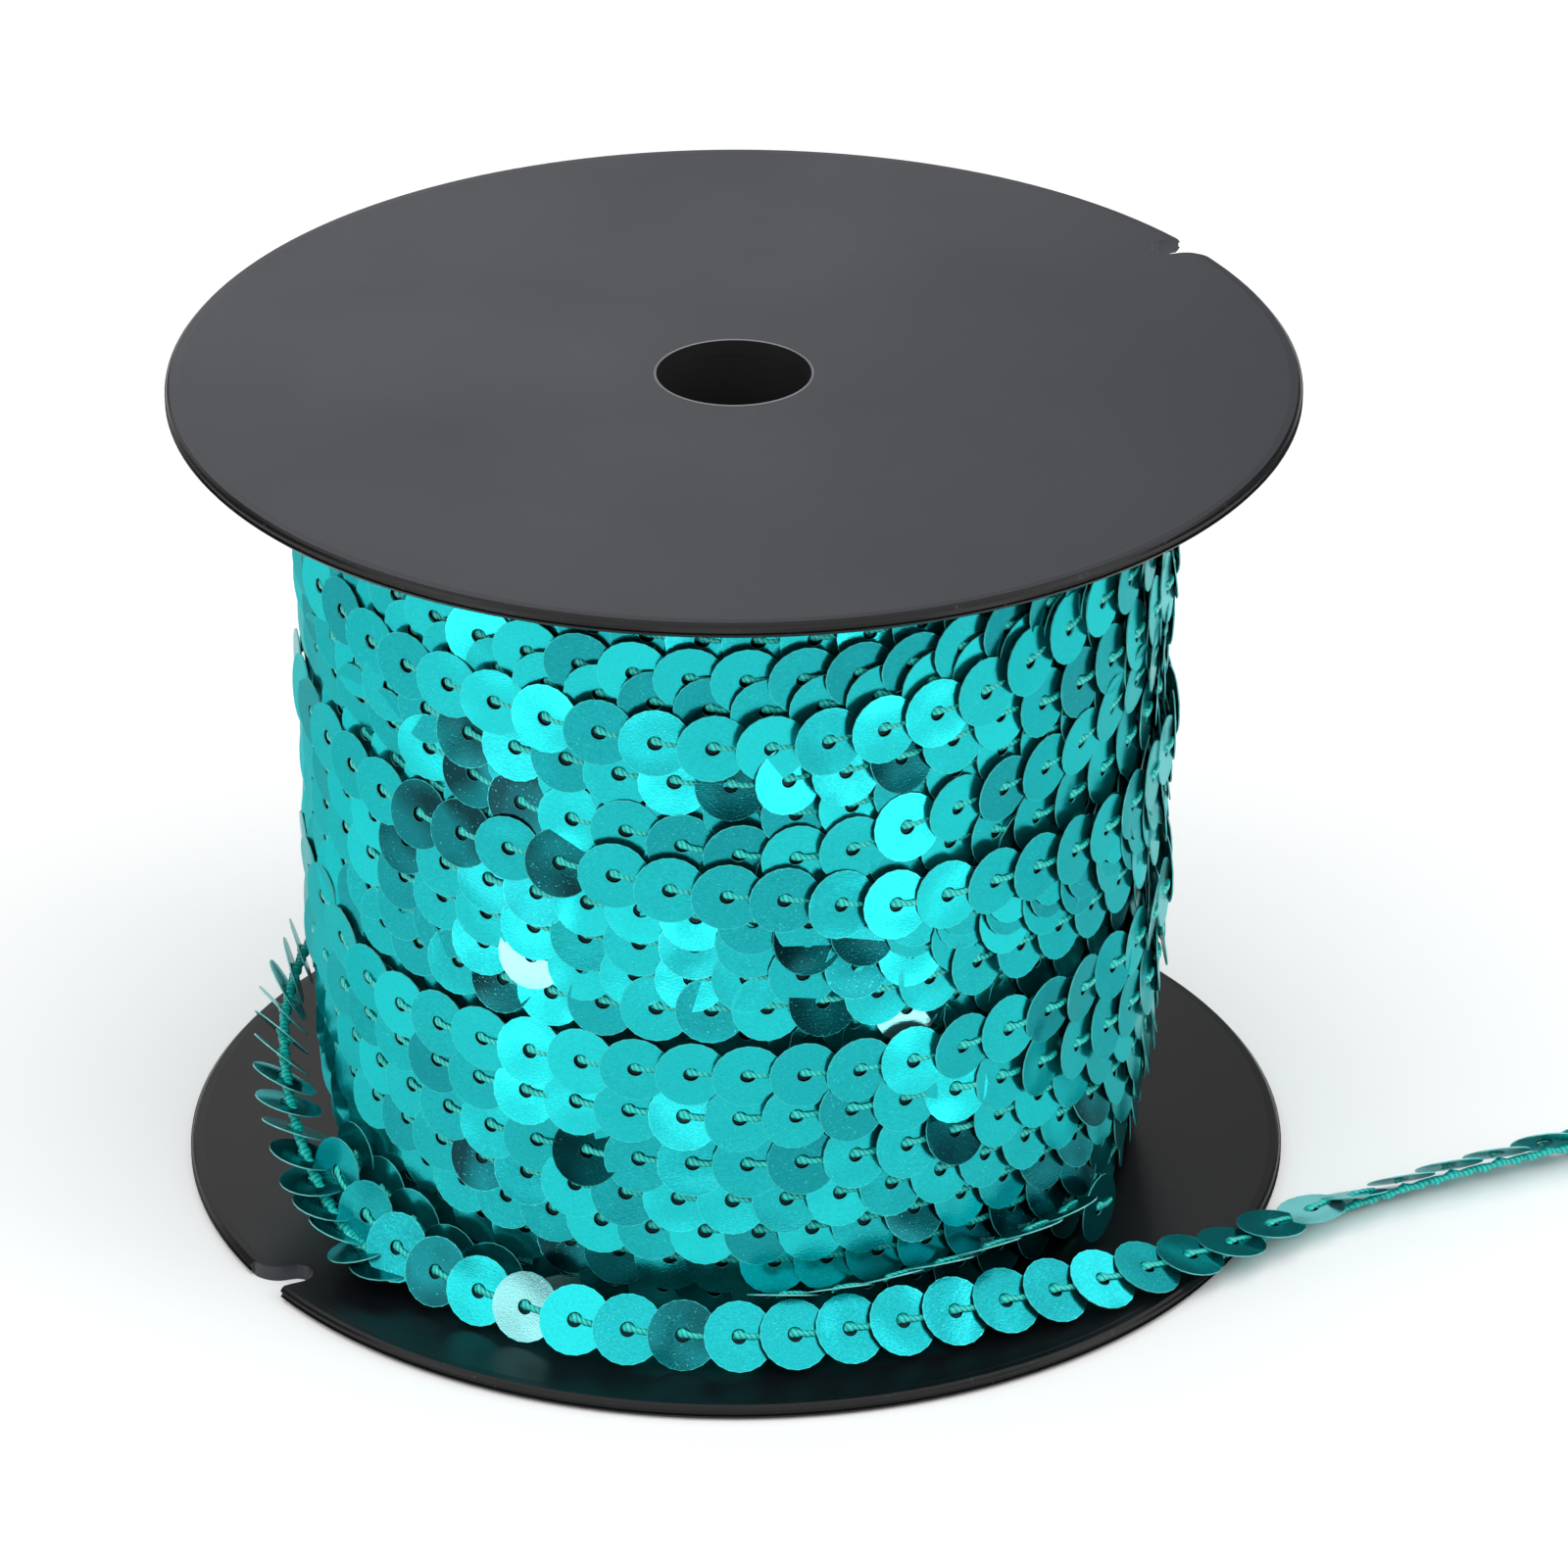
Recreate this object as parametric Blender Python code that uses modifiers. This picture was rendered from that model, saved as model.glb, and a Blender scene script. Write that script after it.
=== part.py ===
"""Sequin trim wound on a flanged plastic reel, with its loose end lying out to one side.

Metres, +Z up. The origin is the centre of the bottom flange's outer face, on the reel's axis.
The reel stands on that face. The camera side is -Y, and the loose end leaves towards +X.
"""
import math

import bmesh
import bpy
from mathutils import Vector

# Driving dimensions of the reel
REEL_HEIGHT = 0.0734
FLANGE_R = 0.0475
FLANGE_T = 0.0014
EDGE_ROUND = 0.0004
EDGE_EASE = 0.0009
PARTING_DEPTH = 0.0001
BORE_R = 0.0065
HUB_WALL = 0.0018
GAP = 0.0003

# The thread slit in each flange, whose outer corner on one side is well rounded. Both flanges are
# the same moulding, one of them turned half round.
SLIT_WIDTH = 0.0025
SLIT_DEPTH = 0.0032
SLIT_FLARE_R = 0.0021
SLIT_LEAN = math.radians(10.5)
SLIT_ANGLE_TOP = math.radians(33.9)
SLIT_ANGLE_BOTTOM = math.radians(213.9)

# Driving dimensions of the trim: discs on a thread, each over the left edge of the next
SEQUIN_R = 0.0030
SEQUIN_PITCH = 0.0046
TRIM_T = 0.0006
SHINGLE_LIFT = 0.0005

# The wound form, by height: the radius that the turns reach
WINDING_OUTLINE = (
    # height, radius
    (0.0000, 0.0350),
    (0.0060, 0.0354),
    (0.0140, 0.0364),
    (0.0300, 0.0370),
    (0.0550, 0.0371),
    (0.0734, 0.0367),
)
RIDGE_HALF = 0.0006
VALLEY_DEPTH = 0.0008

# The turns that show, from the top flange down: the height of each turn's middle at five places
# round the front, in degrees from the front, and how far it stands out of the outline
TURN_ANGLES = (-70.0, -35.0, 0.0, 35.0, 70.0)
TURNS = (
    # left, mid left, front, mid right, right, stands out
    (0.0696, 0.0695, 0.0693, 0.0694, 0.0697, -0.0005),
    (0.0674, 0.0672, 0.0664, 0.0668, 0.0675, -0.0003),
    (0.0650, 0.0640, 0.0632, 0.0642, 0.0655, 0.0000),
    (0.0628, 0.0613, 0.0604, 0.0616, 0.0635, 0.0000),
    (0.0605, 0.0588, 0.0574, 0.0594, 0.0616, 0.0004),
    (0.0572, 0.0550, 0.0540, 0.0566, 0.0566, 0.0001),
    (0.0553, 0.0531, 0.0512, 0.0532, 0.0543, -0.0003),
    (0.0534, 0.0510, 0.0475, 0.0496, 0.0523, 0.0001),
    (0.0502, 0.0480, 0.0456, 0.0458, 0.0470, -0.0004),
    (0.0472, 0.0456, 0.0438, 0.0418, 0.0418, 0.0003),
    (0.0434, 0.0420, 0.0413, 0.0401, 0.0401, -0.0002),
    (0.0397, 0.0389, 0.0391, 0.0386, 0.0388, 0.0000),
    (0.0362, 0.0359, 0.0359, 0.0371, 0.0372, 0.0000),
    (0.0340, 0.0332, 0.0332, 0.0344, 0.0349, 0.0000),
    (0.0322, 0.0304, 0.0301, 0.0312, 0.0315, -0.0012),
    (0.0303, 0.0271, 0.0269, 0.0271, 0.0276, 0.0003),
    (0.0245, 0.0230, 0.0228, 0.0227, 0.0215, 0.0002),
    (0.0194, 0.0181, 0.0180, 0.0186, 0.0190, 0.0000),
    (0.0156, 0.0147, 0.0145, 0.0153, 0.0155, 0.0000),
    (0.0125, 0.0117, 0.0115, 0.0123, 0.0128, 0.0000),
    (0.0093, 0.0086, 0.0082, 0.0083, 0.0089, -0.0005),
    (0.0064, 0.0055, 0.0048, 0.0046, 0.0052, -0.0009),
)

# The last turn at the lower left, which comes off the winding and falls over on to the flange,
# so that its underside is up (a tilt past 90 degrees)
LAST_TURN_ROUTE = (
    # degrees from the front, radius, height, tilt of the face from level
    (-112.0, 0.0379, 0.0165, 90.0),
    (-98.0, 0.0383, 0.0154, 104.0),
    (-86.0, 0.0392, 0.0137, 128.0),
    (-76.0, 0.0399, 0.0115, 148.0),
    (-68.0, 0.0404, 0.0089, 160.0),
    (-61.0, 0.0406, 0.0062, 166.0),
    (-54.0, 0.0406, 0.0040, 170.0),
    (-46.0, 0.0400, 0.0028, 173.0),
)

# The loose end: round the front on the bottom flange, over its rim and out along the floor
LOOSE_END_ROUTE = (
    # x, y, z, tilt of the face from level
    (-0.0326, -0.0222, 0.0084, 68.0),
    (-0.0283, -0.0281, 0.0057, 64.0),
    (-0.0217, -0.0337, 0.0045, 60.0),
    (-0.0133, -0.0385, 0.0044, 57.0),
    (-0.0044, -0.0408, 0.0043, 55.0),
    (0.0048, -0.0406, 0.0042, 52.0),
    (0.0139, -0.0382, 0.0041, 48.0),
    (0.0227, -0.0346, 0.0039, 42.0),
    (0.0309, -0.0303, 0.0034, 32.0),
    (0.0388, -0.0248, 0.0026, 12.0),
    (0.0425, -0.0219, 0.0022, -1.0),
    (0.0457, -0.0191, 0.0022, -8.0),
    (0.0522, -0.0140, 0.0018, -24.0),
    (0.0592, -0.0106, 0.0023, -40.0),
    (0.0676, -0.0068, 0.0025, -43.0),
    (0.0765, -0.0030, 0.0025, -43.0),
    (0.0808, -0.0012, 0.0025, -43.0),
)

# Facets of the round pieces
FLANGE_STEPS = 60
HUB_STEPS = 36
WINDING_STEPS = 42
ROUTE_STEPS = 12

COLLECTION_NAME = "sequin_trim_on_reel"
CUTTER_COLLECTION_NAME = "cutters"


def clear_scene():
    """Remove what the file holds at the start."""
    for obj in list(bpy.data.objects):
        bpy.data.objects.remove(obj, do_unlink=True)


def new_collection(name):
    """Return a new collection, linked to the scene."""
    collection = bpy.data.collections.new(name)
    bpy.context.scene.collection.children.link(collection)
    return collection


def plain_material(name, colour, roughness, metallic=0.0):
    """Return a Principled material of one colour."""
    material = bpy.data.materials.new(name)
    material.use_nodes = True
    shader = material.node_tree.nodes["Principled BSDF"]
    shader.inputs["Base Color"].default_value = (*colour, 1.0)
    shader.inputs["Roughness"].default_value = roughness
    shader.inputs["Metallic"].default_value = metallic
    material.diffuse_color = (*colour, 1.0)
    return material


def add_object(name, mesh, material, collection):
    """Put a mesh into the scene as one named piece."""
    obj = bpy.data.objects.new(name, mesh)
    if material is not None:
        mesh.materials.append(material)
    collection.objects.link(obj)
    return obj


def mark_cutter(obj):
    """Show a cutter as a wire and keep it out of renders."""
    obj.hide_render = True
    obj.display_type = "WIRE"


def shade_round(mesh, angle_degrees=35.0):
    """Shade a round piece smooth, with its edges sharp."""
    mesh.shade_smooth()
    mesh.set_sharp_from_angle(angle=math.radians(angle_degrees))


def loft(name, sections, closed):
    """Join like sections, each a loop of points, into one closed skin."""
    mesh = bpy.data.meshes.new(name)
    work = bmesh.new()
    loops = [[work.verts.new(point) for point in section] for section in sections]
    followers = loops[1:] + loops[:1] if closed else loops[1:]
    for loop, follower in zip(loops, followers):
        count = len(loop)
        for i in range(count):
            j = (i + 1) % count
            work.faces.new((loop[i], loop[j], follower[j], follower[i]))
    if not closed:
        work.faces.new(loops[0])
        work.faces.new(list(reversed(loops[-1])))
    bmesh.ops.recalc_face_normals(work, faces=work.faces)
    work.to_mesh(mesh)
    work.free()
    return mesh


def turned(name, profile, steps, material, collection):
    """Turn a closed profile of (radius, height) points about the reel's axis."""
    mesh = bpy.data.meshes.new(name)
    work = bmesh.new()
    verts = [work.verts.new((radius, 0.0, height)) for radius, height in profile]
    for i, vert in enumerate(verts):
        work.edges.new((vert, verts[(i + 1) % len(verts)]))
    work.to_mesh(mesh)
    work.free()
    obj = add_object(name, mesh, material, collection)
    screw = obj.modifiers.new("turn", "SCREW")
    screw.axis = "Z"
    screw.angle = math.tau
    screw.steps = steps
    screw.render_steps = steps
    screw.use_merge_vertices = True
    screw.merge_threshold = 0.00001
    screw.use_smooth_shade = True
    return obj


def flange_profile(base):
    """Section of a flange: a flat plate whose rim is eased and has a fine parting line."""
    top = base + FLANGE_T
    middle = base + FLANGE_T / 2
    half_line = PARTING_DEPTH
    return [
        (BORE_R + EDGE_ROUND / 2, top),
        (FLANGE_R - EDGE_ROUND - EDGE_EASE, top),
        (FLANGE_R - EDGE_ROUND, top - EDGE_ROUND / 4),
        (FLANGE_R - EDGE_ROUND / 5, top - EDGE_ROUND),
        (FLANGE_R, middle + half_line),
        (FLANGE_R - PARTING_DEPTH, middle),
        (FLANGE_R, middle - half_line),
        (FLANGE_R - EDGE_ROUND / 5, base + EDGE_ROUND),
        (FLANGE_R - EDGE_ROUND, base + EDGE_ROUND / 4),
        (FLANGE_R - EDGE_ROUND - EDGE_EASE, base),
        (BORE_R + EDGE_ROUND / 2, base),
        (BORE_R, base + EDGE_ROUND / 2),
        (BORE_R, top - EDGE_ROUND / 2),
    ]


def slit_outline():
    """Outline of the thread slit, from its mouth inwards along +X, flared on its +Y side."""
    half = SLIT_WIDTH / 2
    straight = SLIT_DEPTH - half
    points = [(-2 * SLIT_DEPTH, -half), (straight, -half)]
    for step in range(1, 6):
        turn = math.pi * step / 6 - math.pi / 2
        points.append((straight + half * math.cos(turn), half * math.sin(turn)))
    for step in range(7):
        turn = math.radians(13.0 * step)
        points.append((straight - SLIT_FLARE_R * math.sin(turn), half + SLIT_FLARE_R * (1 - math.cos(turn))))
    points.append((-2 * SLIT_DEPTH, points[-1][1]))
    return points


def place_at_rim(obj, angle, height):
    """Stand a tool at the rim, its +X pointing inwards along the slit."""
    obj.location = (FLANGE_R * math.cos(angle), FLANGE_R * math.sin(angle), height)
    obj.rotation_euler = (0.0, 0.0, angle + math.pi - SLIT_LEAN)


def slit_cutter(name, angle, base, collection):
    """Cutter for one thread slit, a flat outline with depth, made a mesh."""
    curve = bpy.data.curves.new(name, "CURVE")
    curve.dimensions = "2D"
    curve.fill_mode = "BOTH"
    curve.extrude = 2 * FLANGE_T
    outline = slit_outline()
    spline = curve.splines.new("POLY")
    spline.points.add(len(outline) - 1)
    for point, (along, across) in zip(spline.points, outline):
        point.co = (along, across, 0.0, 1.0)
    spline.use_cyclic_u = True
    guide = bpy.data.objects.new(name + "_curve", curve)
    collection.objects.link(guide)
    bpy.context.view_layer.update()
    evaluated = guide.evaluated_get(bpy.context.evaluated_depsgraph_get())
    mesh = bpy.data.meshes.new_from_object(evaluated)
    mesh.name = name
    bpy.data.objects.remove(guide, do_unlink=True)
    work = bmesh.new()
    work.from_mesh(mesh)
    bmesh.ops.remove_doubles(work, verts=work.verts, dist=0.00001)
    bmesh.ops.recalc_face_normals(work, faces=work.faces)
    work.to_mesh(mesh)
    work.free()
    cutter = add_object(name, mesh, None, collection)
    place_at_rim(cutter, angle, base + FLANGE_T / 2)
    mark_cutter(cutter)
    return cutter


def flange(name, base, slit_angle, material, collection, cutters):
    """One flange of the reel, with its bore and its thread slit."""
    obj = turned(name, flange_profile(base), FLANGE_STEPS, material, collection)
    cutter = slit_cutter(name + "_slit", slit_angle, base, cutters)
    modifier = obj.modifiers.new("slit", "BOOLEAN")
    modifier.operation = "DIFFERENCE"
    modifier.solver = "EXACT"
    modifier.object = cutter
    return obj


def hub(material, collection):
    """The tube between the flanges, which the trim is wound on."""
    low = FLANGE_T + GAP
    high = REEL_HEIGHT - FLANGE_T - GAP
    outer = BORE_R + HUB_WALL
    profile = [(BORE_R, high), (outer, high), (outer, low), (BORE_R, low)]
    return turned("hub", profile, HUB_STEPS, material, collection)


def between(table, at):
    """Read a value between the rows of a two-column table."""
    for (low, start), (high, end) in zip(table, table[1:]):
        if at <= high:
            share = min(max((at - low) / (high - low), 0.0), 1.0)
            share = share * share * (3.0 - 2.0 * share)
            return start + (end - start) * share
    return table[-1][1]


def turn_height(turn, degrees):
    """Height of a turn at an angle from the front; it closes on itself round the back."""
    heights = list(zip(TURN_ANGLES, turn))
    back = (TURN_ANGLES[0] + 360.0, turn[0])
    at = degrees if degrees >= TURN_ANGLES[0] else degrees + 360.0
    return between(heights + [back], at)


def unevenness(degrees):
    """How far the turns beneath push the winding out of round."""
    angle = math.radians(degrees)
    return 0.00022 * math.sin(2 * angle + 1.0) + 0.00012 * math.sin(5 * angle)


def winding_section(degrees):
    """Section of the winding at one angle: a ridge for each turn and a valley between turns."""
    low = FLANGE_T + GAP
    high = REEL_HEIGHT - FLANGE_T - GAP
    inner = BORE_R + HUB_WALL + GAP
    swell = unevenness(degrees)
    ridges = [(turn_height(turn, degrees), turn[-1]) for turn in TURNS]
    outline = [(high, -VALLEY_DEPTH)]
    for i, (height, out) in enumerate(ridges):
        outline += [(height + RIDGE_HALF, out), (height - RIDGE_HALF, out)]
        if i + 1 < len(ridges):
            lower, lower_out = ridges[i + 1]
            outline.append(((height + lower) / 2, min(out, lower_out) - VALLEY_DEPTH / 2))
    outline.append((low, ridges[-1][1] - VALLEY_DEPTH))
    points = [(between(WINDING_OUTLINE, height) + out + swell, height) for height, out in outline]
    points += [(inner, low), (inner, high)]
    angle = math.radians(degrees)
    return [Vector((r * math.sin(angle), -r * math.cos(angle), z)) for r, z in points]


def winding(material, collection):
    """The trim's turns as one ring, its unevenness and main turns raised on it."""
    sections = [winding_section(360.0 * i / WINDING_STEPS - 180.0) for i in range(WINDING_STEPS)]
    mesh = loft("winding", sections, closed=True)
    return add_object("winding", mesh, material, collection)


def smooth_route(route):
    """Points and tilts on one smooth curve through the route's own points."""
    rows = [(Vector(row[:3]), row[3]) for row in route]
    rows = [rows[0]] + rows + [rows[-1]]
    found = []
    for i in range(1, len(rows) - 2):
        (before, _), (start, tilt), (end, next_tilt), (after, _) = rows[i - 1:i + 3]
        for step in range(ROUTE_STEPS):
            t = step / ROUTE_STEPS
            point = 0.5 * (2 * start + (end - before) * t
                           + (2 * before - 5 * start + 4 * end - after) * t * t
                           + (3 * start - before - 3 * end + after) * t ** 3)
            found.append((point, tilt + (next_tilt - tilt) * t))
    found.append(rows[-1])
    return found


def along_route(points, distance):
    """Point, direction and tilt at a distance along a smooth route."""
    travelled = 0.0
    for (start, tilt), (end, next_tilt) in zip(points, points[1:]):
        step = (end - start).length
        if step > 0.0 and travelled + step >= distance:
            share = (distance - travelled) / step
            return start.lerp(end, share), (end - start) / step, tilt + (next_tilt - tilt) * share
        travelled += step
    (start, tilt), (end, _) = points[-3], points[-2]
    return points[-1][0], (end - start).normalized(), tilt


def route_length(points):
    """Length of a smooth route."""
    return sum((end - start).length for (start, _), (end, _) in zip(points, points[1:]))


def trim_section(points, distance, offset):
    """Section of the flat trim at a distance, offset along it from a disc's middle."""
    place, along, tilt = along_route(points, distance)
    level = Vector((along.y, -along.x, 0.0)).normalized()
    angle = math.radians(tilt)
    across = level * math.cos(angle) - Vector((0.0, 0.0, 1.0)) * math.sin(angle)
    normal = along.cross(across).normalized() * -1.0
    half = math.sqrt(SEQUIN_R ** 2 - offset ** 2)
    middle = place - normal * SHINGLE_LIFT * offset / SEQUIN_PITCH
    sides = ((-half, -1), (half, -1), (half, 1), (-half, 1))
    return [middle + across * side + normal * face * TRIM_T / 2 for side, face in sides]


def trim_band(name, route, material, collection):
    """A length of the trim as one band, scalloped and stepped where its discs overlap."""
    points = smooth_route(route)
    discs = int(route_length(points) / SEQUIN_PITCH)
    sections = []
    for disc in range(discs):
        middle = (disc + 0.5) * SEQUIN_PITCH
        for share in (-0.46, -0.25, 0.0, 0.25, 0.46):
            offset = share * SEQUIN_PITCH
            sections.append(trim_section(points, middle + offset, offset))
    return add_object(name, loft(name, sections, closed=False), material, collection)


def last_turn_points():
    """The last turn's route as points in space."""
    points = []
    for degrees, radius, height, tilt in LAST_TURN_ROUTE:
        angle = math.radians(degrees)
        points.append((radius * math.sin(angle), -radius * math.cos(angle), height, tilt))
    return points


def build():
    """Build the reel and the trim on it."""
    clear_scene()
    parts = new_collection(COLLECTION_NAME)
    cutters = new_collection(CUTTER_COLLECTION_NAME)
    plastic = plain_material("black_moulded_plastic", (0.030, 0.030, 0.033), 0.45)
    inner_plastic = plain_material("grey_black_plastic", (0.045, 0.045, 0.048), 0.50)
    sequins = plain_material("teal_sequins", (0.010, 0.410, 0.420), 0.22, 0.75)

    top_base = REEL_HEIGHT - FLANGE_T
    flange("bottom_flange", 0.0, SLIT_ANGLE_BOTTOM, plastic, parts, cutters)
    flange("top_flange", top_base, SLIT_ANGLE_TOP, plastic, parts, cutters)
    shade_round(hub(inner_plastic, parts).data)
    shade_round(winding(sequins, parts).data)
    trim_band("last_turn", last_turn_points(), sequins, parts)
    trim_band("loose_end", LOOSE_END_ROUTE, sequins, parts)
    bpy.context.view_layer.update()


build()
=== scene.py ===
"""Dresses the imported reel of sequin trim.

The discs are set one by one along the wound turns, the loose runs and the loose end. Each lies on
its left-hand neighbour, with the twisted thread that holds it. The reel is turned afresh from its
own section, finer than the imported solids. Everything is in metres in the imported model's frame: the
reel's axis is +Z, the camera looks along +Y, and the loose end leaves towards +X. An angle is
measured from the front of the reel towards +X.
"""

from __future__ import annotations

import logging
import math
import random
from collections.abc import Sequence
from dataclasses import dataclass, replace
from enum import Enum

import bmesh
import bpy
import numpy as np
from mathutils import Matrix, Quaternion, Vector


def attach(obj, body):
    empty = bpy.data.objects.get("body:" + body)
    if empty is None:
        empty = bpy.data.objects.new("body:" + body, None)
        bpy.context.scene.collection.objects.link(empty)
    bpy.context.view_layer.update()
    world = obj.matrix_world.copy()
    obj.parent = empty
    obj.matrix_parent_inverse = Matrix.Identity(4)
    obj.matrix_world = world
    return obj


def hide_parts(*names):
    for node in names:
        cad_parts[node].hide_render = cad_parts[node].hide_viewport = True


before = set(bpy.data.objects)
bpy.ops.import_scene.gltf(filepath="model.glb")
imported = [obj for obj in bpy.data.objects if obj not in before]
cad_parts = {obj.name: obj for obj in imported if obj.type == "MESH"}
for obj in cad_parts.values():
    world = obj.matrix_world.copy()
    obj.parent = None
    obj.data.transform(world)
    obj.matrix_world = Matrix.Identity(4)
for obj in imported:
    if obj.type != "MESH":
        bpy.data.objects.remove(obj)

LOG = logging.getLogger("sequin_trim")

Tree = bpy.types.NodeTree
Mesh = bpy.types.Mesh
Material = bpy.types.Material
BMesh = bmesh.types.BMesh

MM = 0.001
BODY = "root"

# Names of the map and the attributes that the film and the thread read
MAP_NAME = "millimetres"
TONE_NAME = "tone"
SHIFT_NAME = "shift"

# Where the photograph was taken from, and the lamps that single discs catch
CAMERA_AT = (0.0, -0.6743, 0.3836)
FLOOR_LAMP_AT = (0.12, -0.125, 0.004)
HIGH_LAMP_AT = (0.0, -0.90, 0.95)

# The reel, as in the part's source
REEL_HEIGHT = 0.0734
FLANGE_R = 0.0475
FLANGE_T = 0.0014
BORE_R = 0.0065

# Facets of what is plain and round
FACETS_ROUND = 96

# The trim, as in the part's source
DISC_R = 0.0030
DISC_PITCH = 0.0046

# The chain of thread behind the discs, and the degrees that a disc's left edge is mostly raised
CHAIN_WIDTH = 0.0009
CURL = 6.5

# Radius of the winding's face at each height
WINDING_OUTLINE = (
    (0.0000, 0.0350),
    (0.0060, 0.0354),
    (0.0140, 0.0364),
    (0.0300, 0.0370),
    (0.0550, 0.0371),
    (0.0734, 0.0367),
)

# Catching a glint: how far a disc may turn for it, in degrees, and how high the dark room begins
DARK_REACH = 11.0
LAMP_REACH = 9.0
DARK_ABOVE = math.tan(math.radians(12))


def linear_rgba(code: str) -> tuple[float, float, float, float]:
    """Turn an sRGB hex value into a linear colour.

    Args:
        code: the colour as "#RRGGBB".

    Returns:
        Linear red, green and blue, and an alpha of 1.
    """
    values = [int(code[i : i + 2], 16) / 255 for i in (1, 3, 5)]
    linear = [v / 12.92 if v <= 0.04045 else ((v + 0.055) / 1.055) ** 2.4 for v in values]
    return (*linear, 1.0)


def add_node(
    tree: Tree,
    kind: str,
    settings: dict[str, object] | None = None,
    inputs: dict[str | int, object] | Sequence[object] = (),
) -> bpy.types.Node:
    """Add one shader node with its settings, values and links.

    Args:
        tree: the node tree that it joins.
        kind: the node's type, after "ShaderNode".
        settings: its properties by name.
        inputs: its inputs by name or in their order, each a value or a socket to link from.

    Returns:
        The new node.
    """
    node = tree.nodes.new("ShaderNode" + kind)
    for name, value in (settings or {}).items():
        setattr(node, name, value)
    for key, value in inputs.items() if isinstance(inputs, dict) else enumerate(inputs):
        if isinstance(value, bpy.types.NodeSocket):
            tree.links.new(value, node.inputs[key])
        else:
            node.inputs[key].default_value = value
    return node


@dataclass(frozen=True)
class Finish:
    """A surface finish, made as one material with one shader.

    Attributes:
        name: the real material, and how it was made.
    """

    name: str

    def surface(self, tree: Tree) -> dict[str, object]:
        """Return the shader's inputs by name; each finish has its own."""
        return {}

    def make(self) -> Material:
        """Make the material.

        Returns:
            The material, ready for a mesh.
        """
        material = bpy.data.materials.new(self.name)
        material.use_nodes = True
        tree = material.node_tree
        tree.nodes.clear()
        shader = add_node(tree, "BsdfPrincipled", inputs=self.surface(tree))
        add_node(tree, "OutputMaterial", inputs={"Surface": shader.outputs[0]})
        return material


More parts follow.
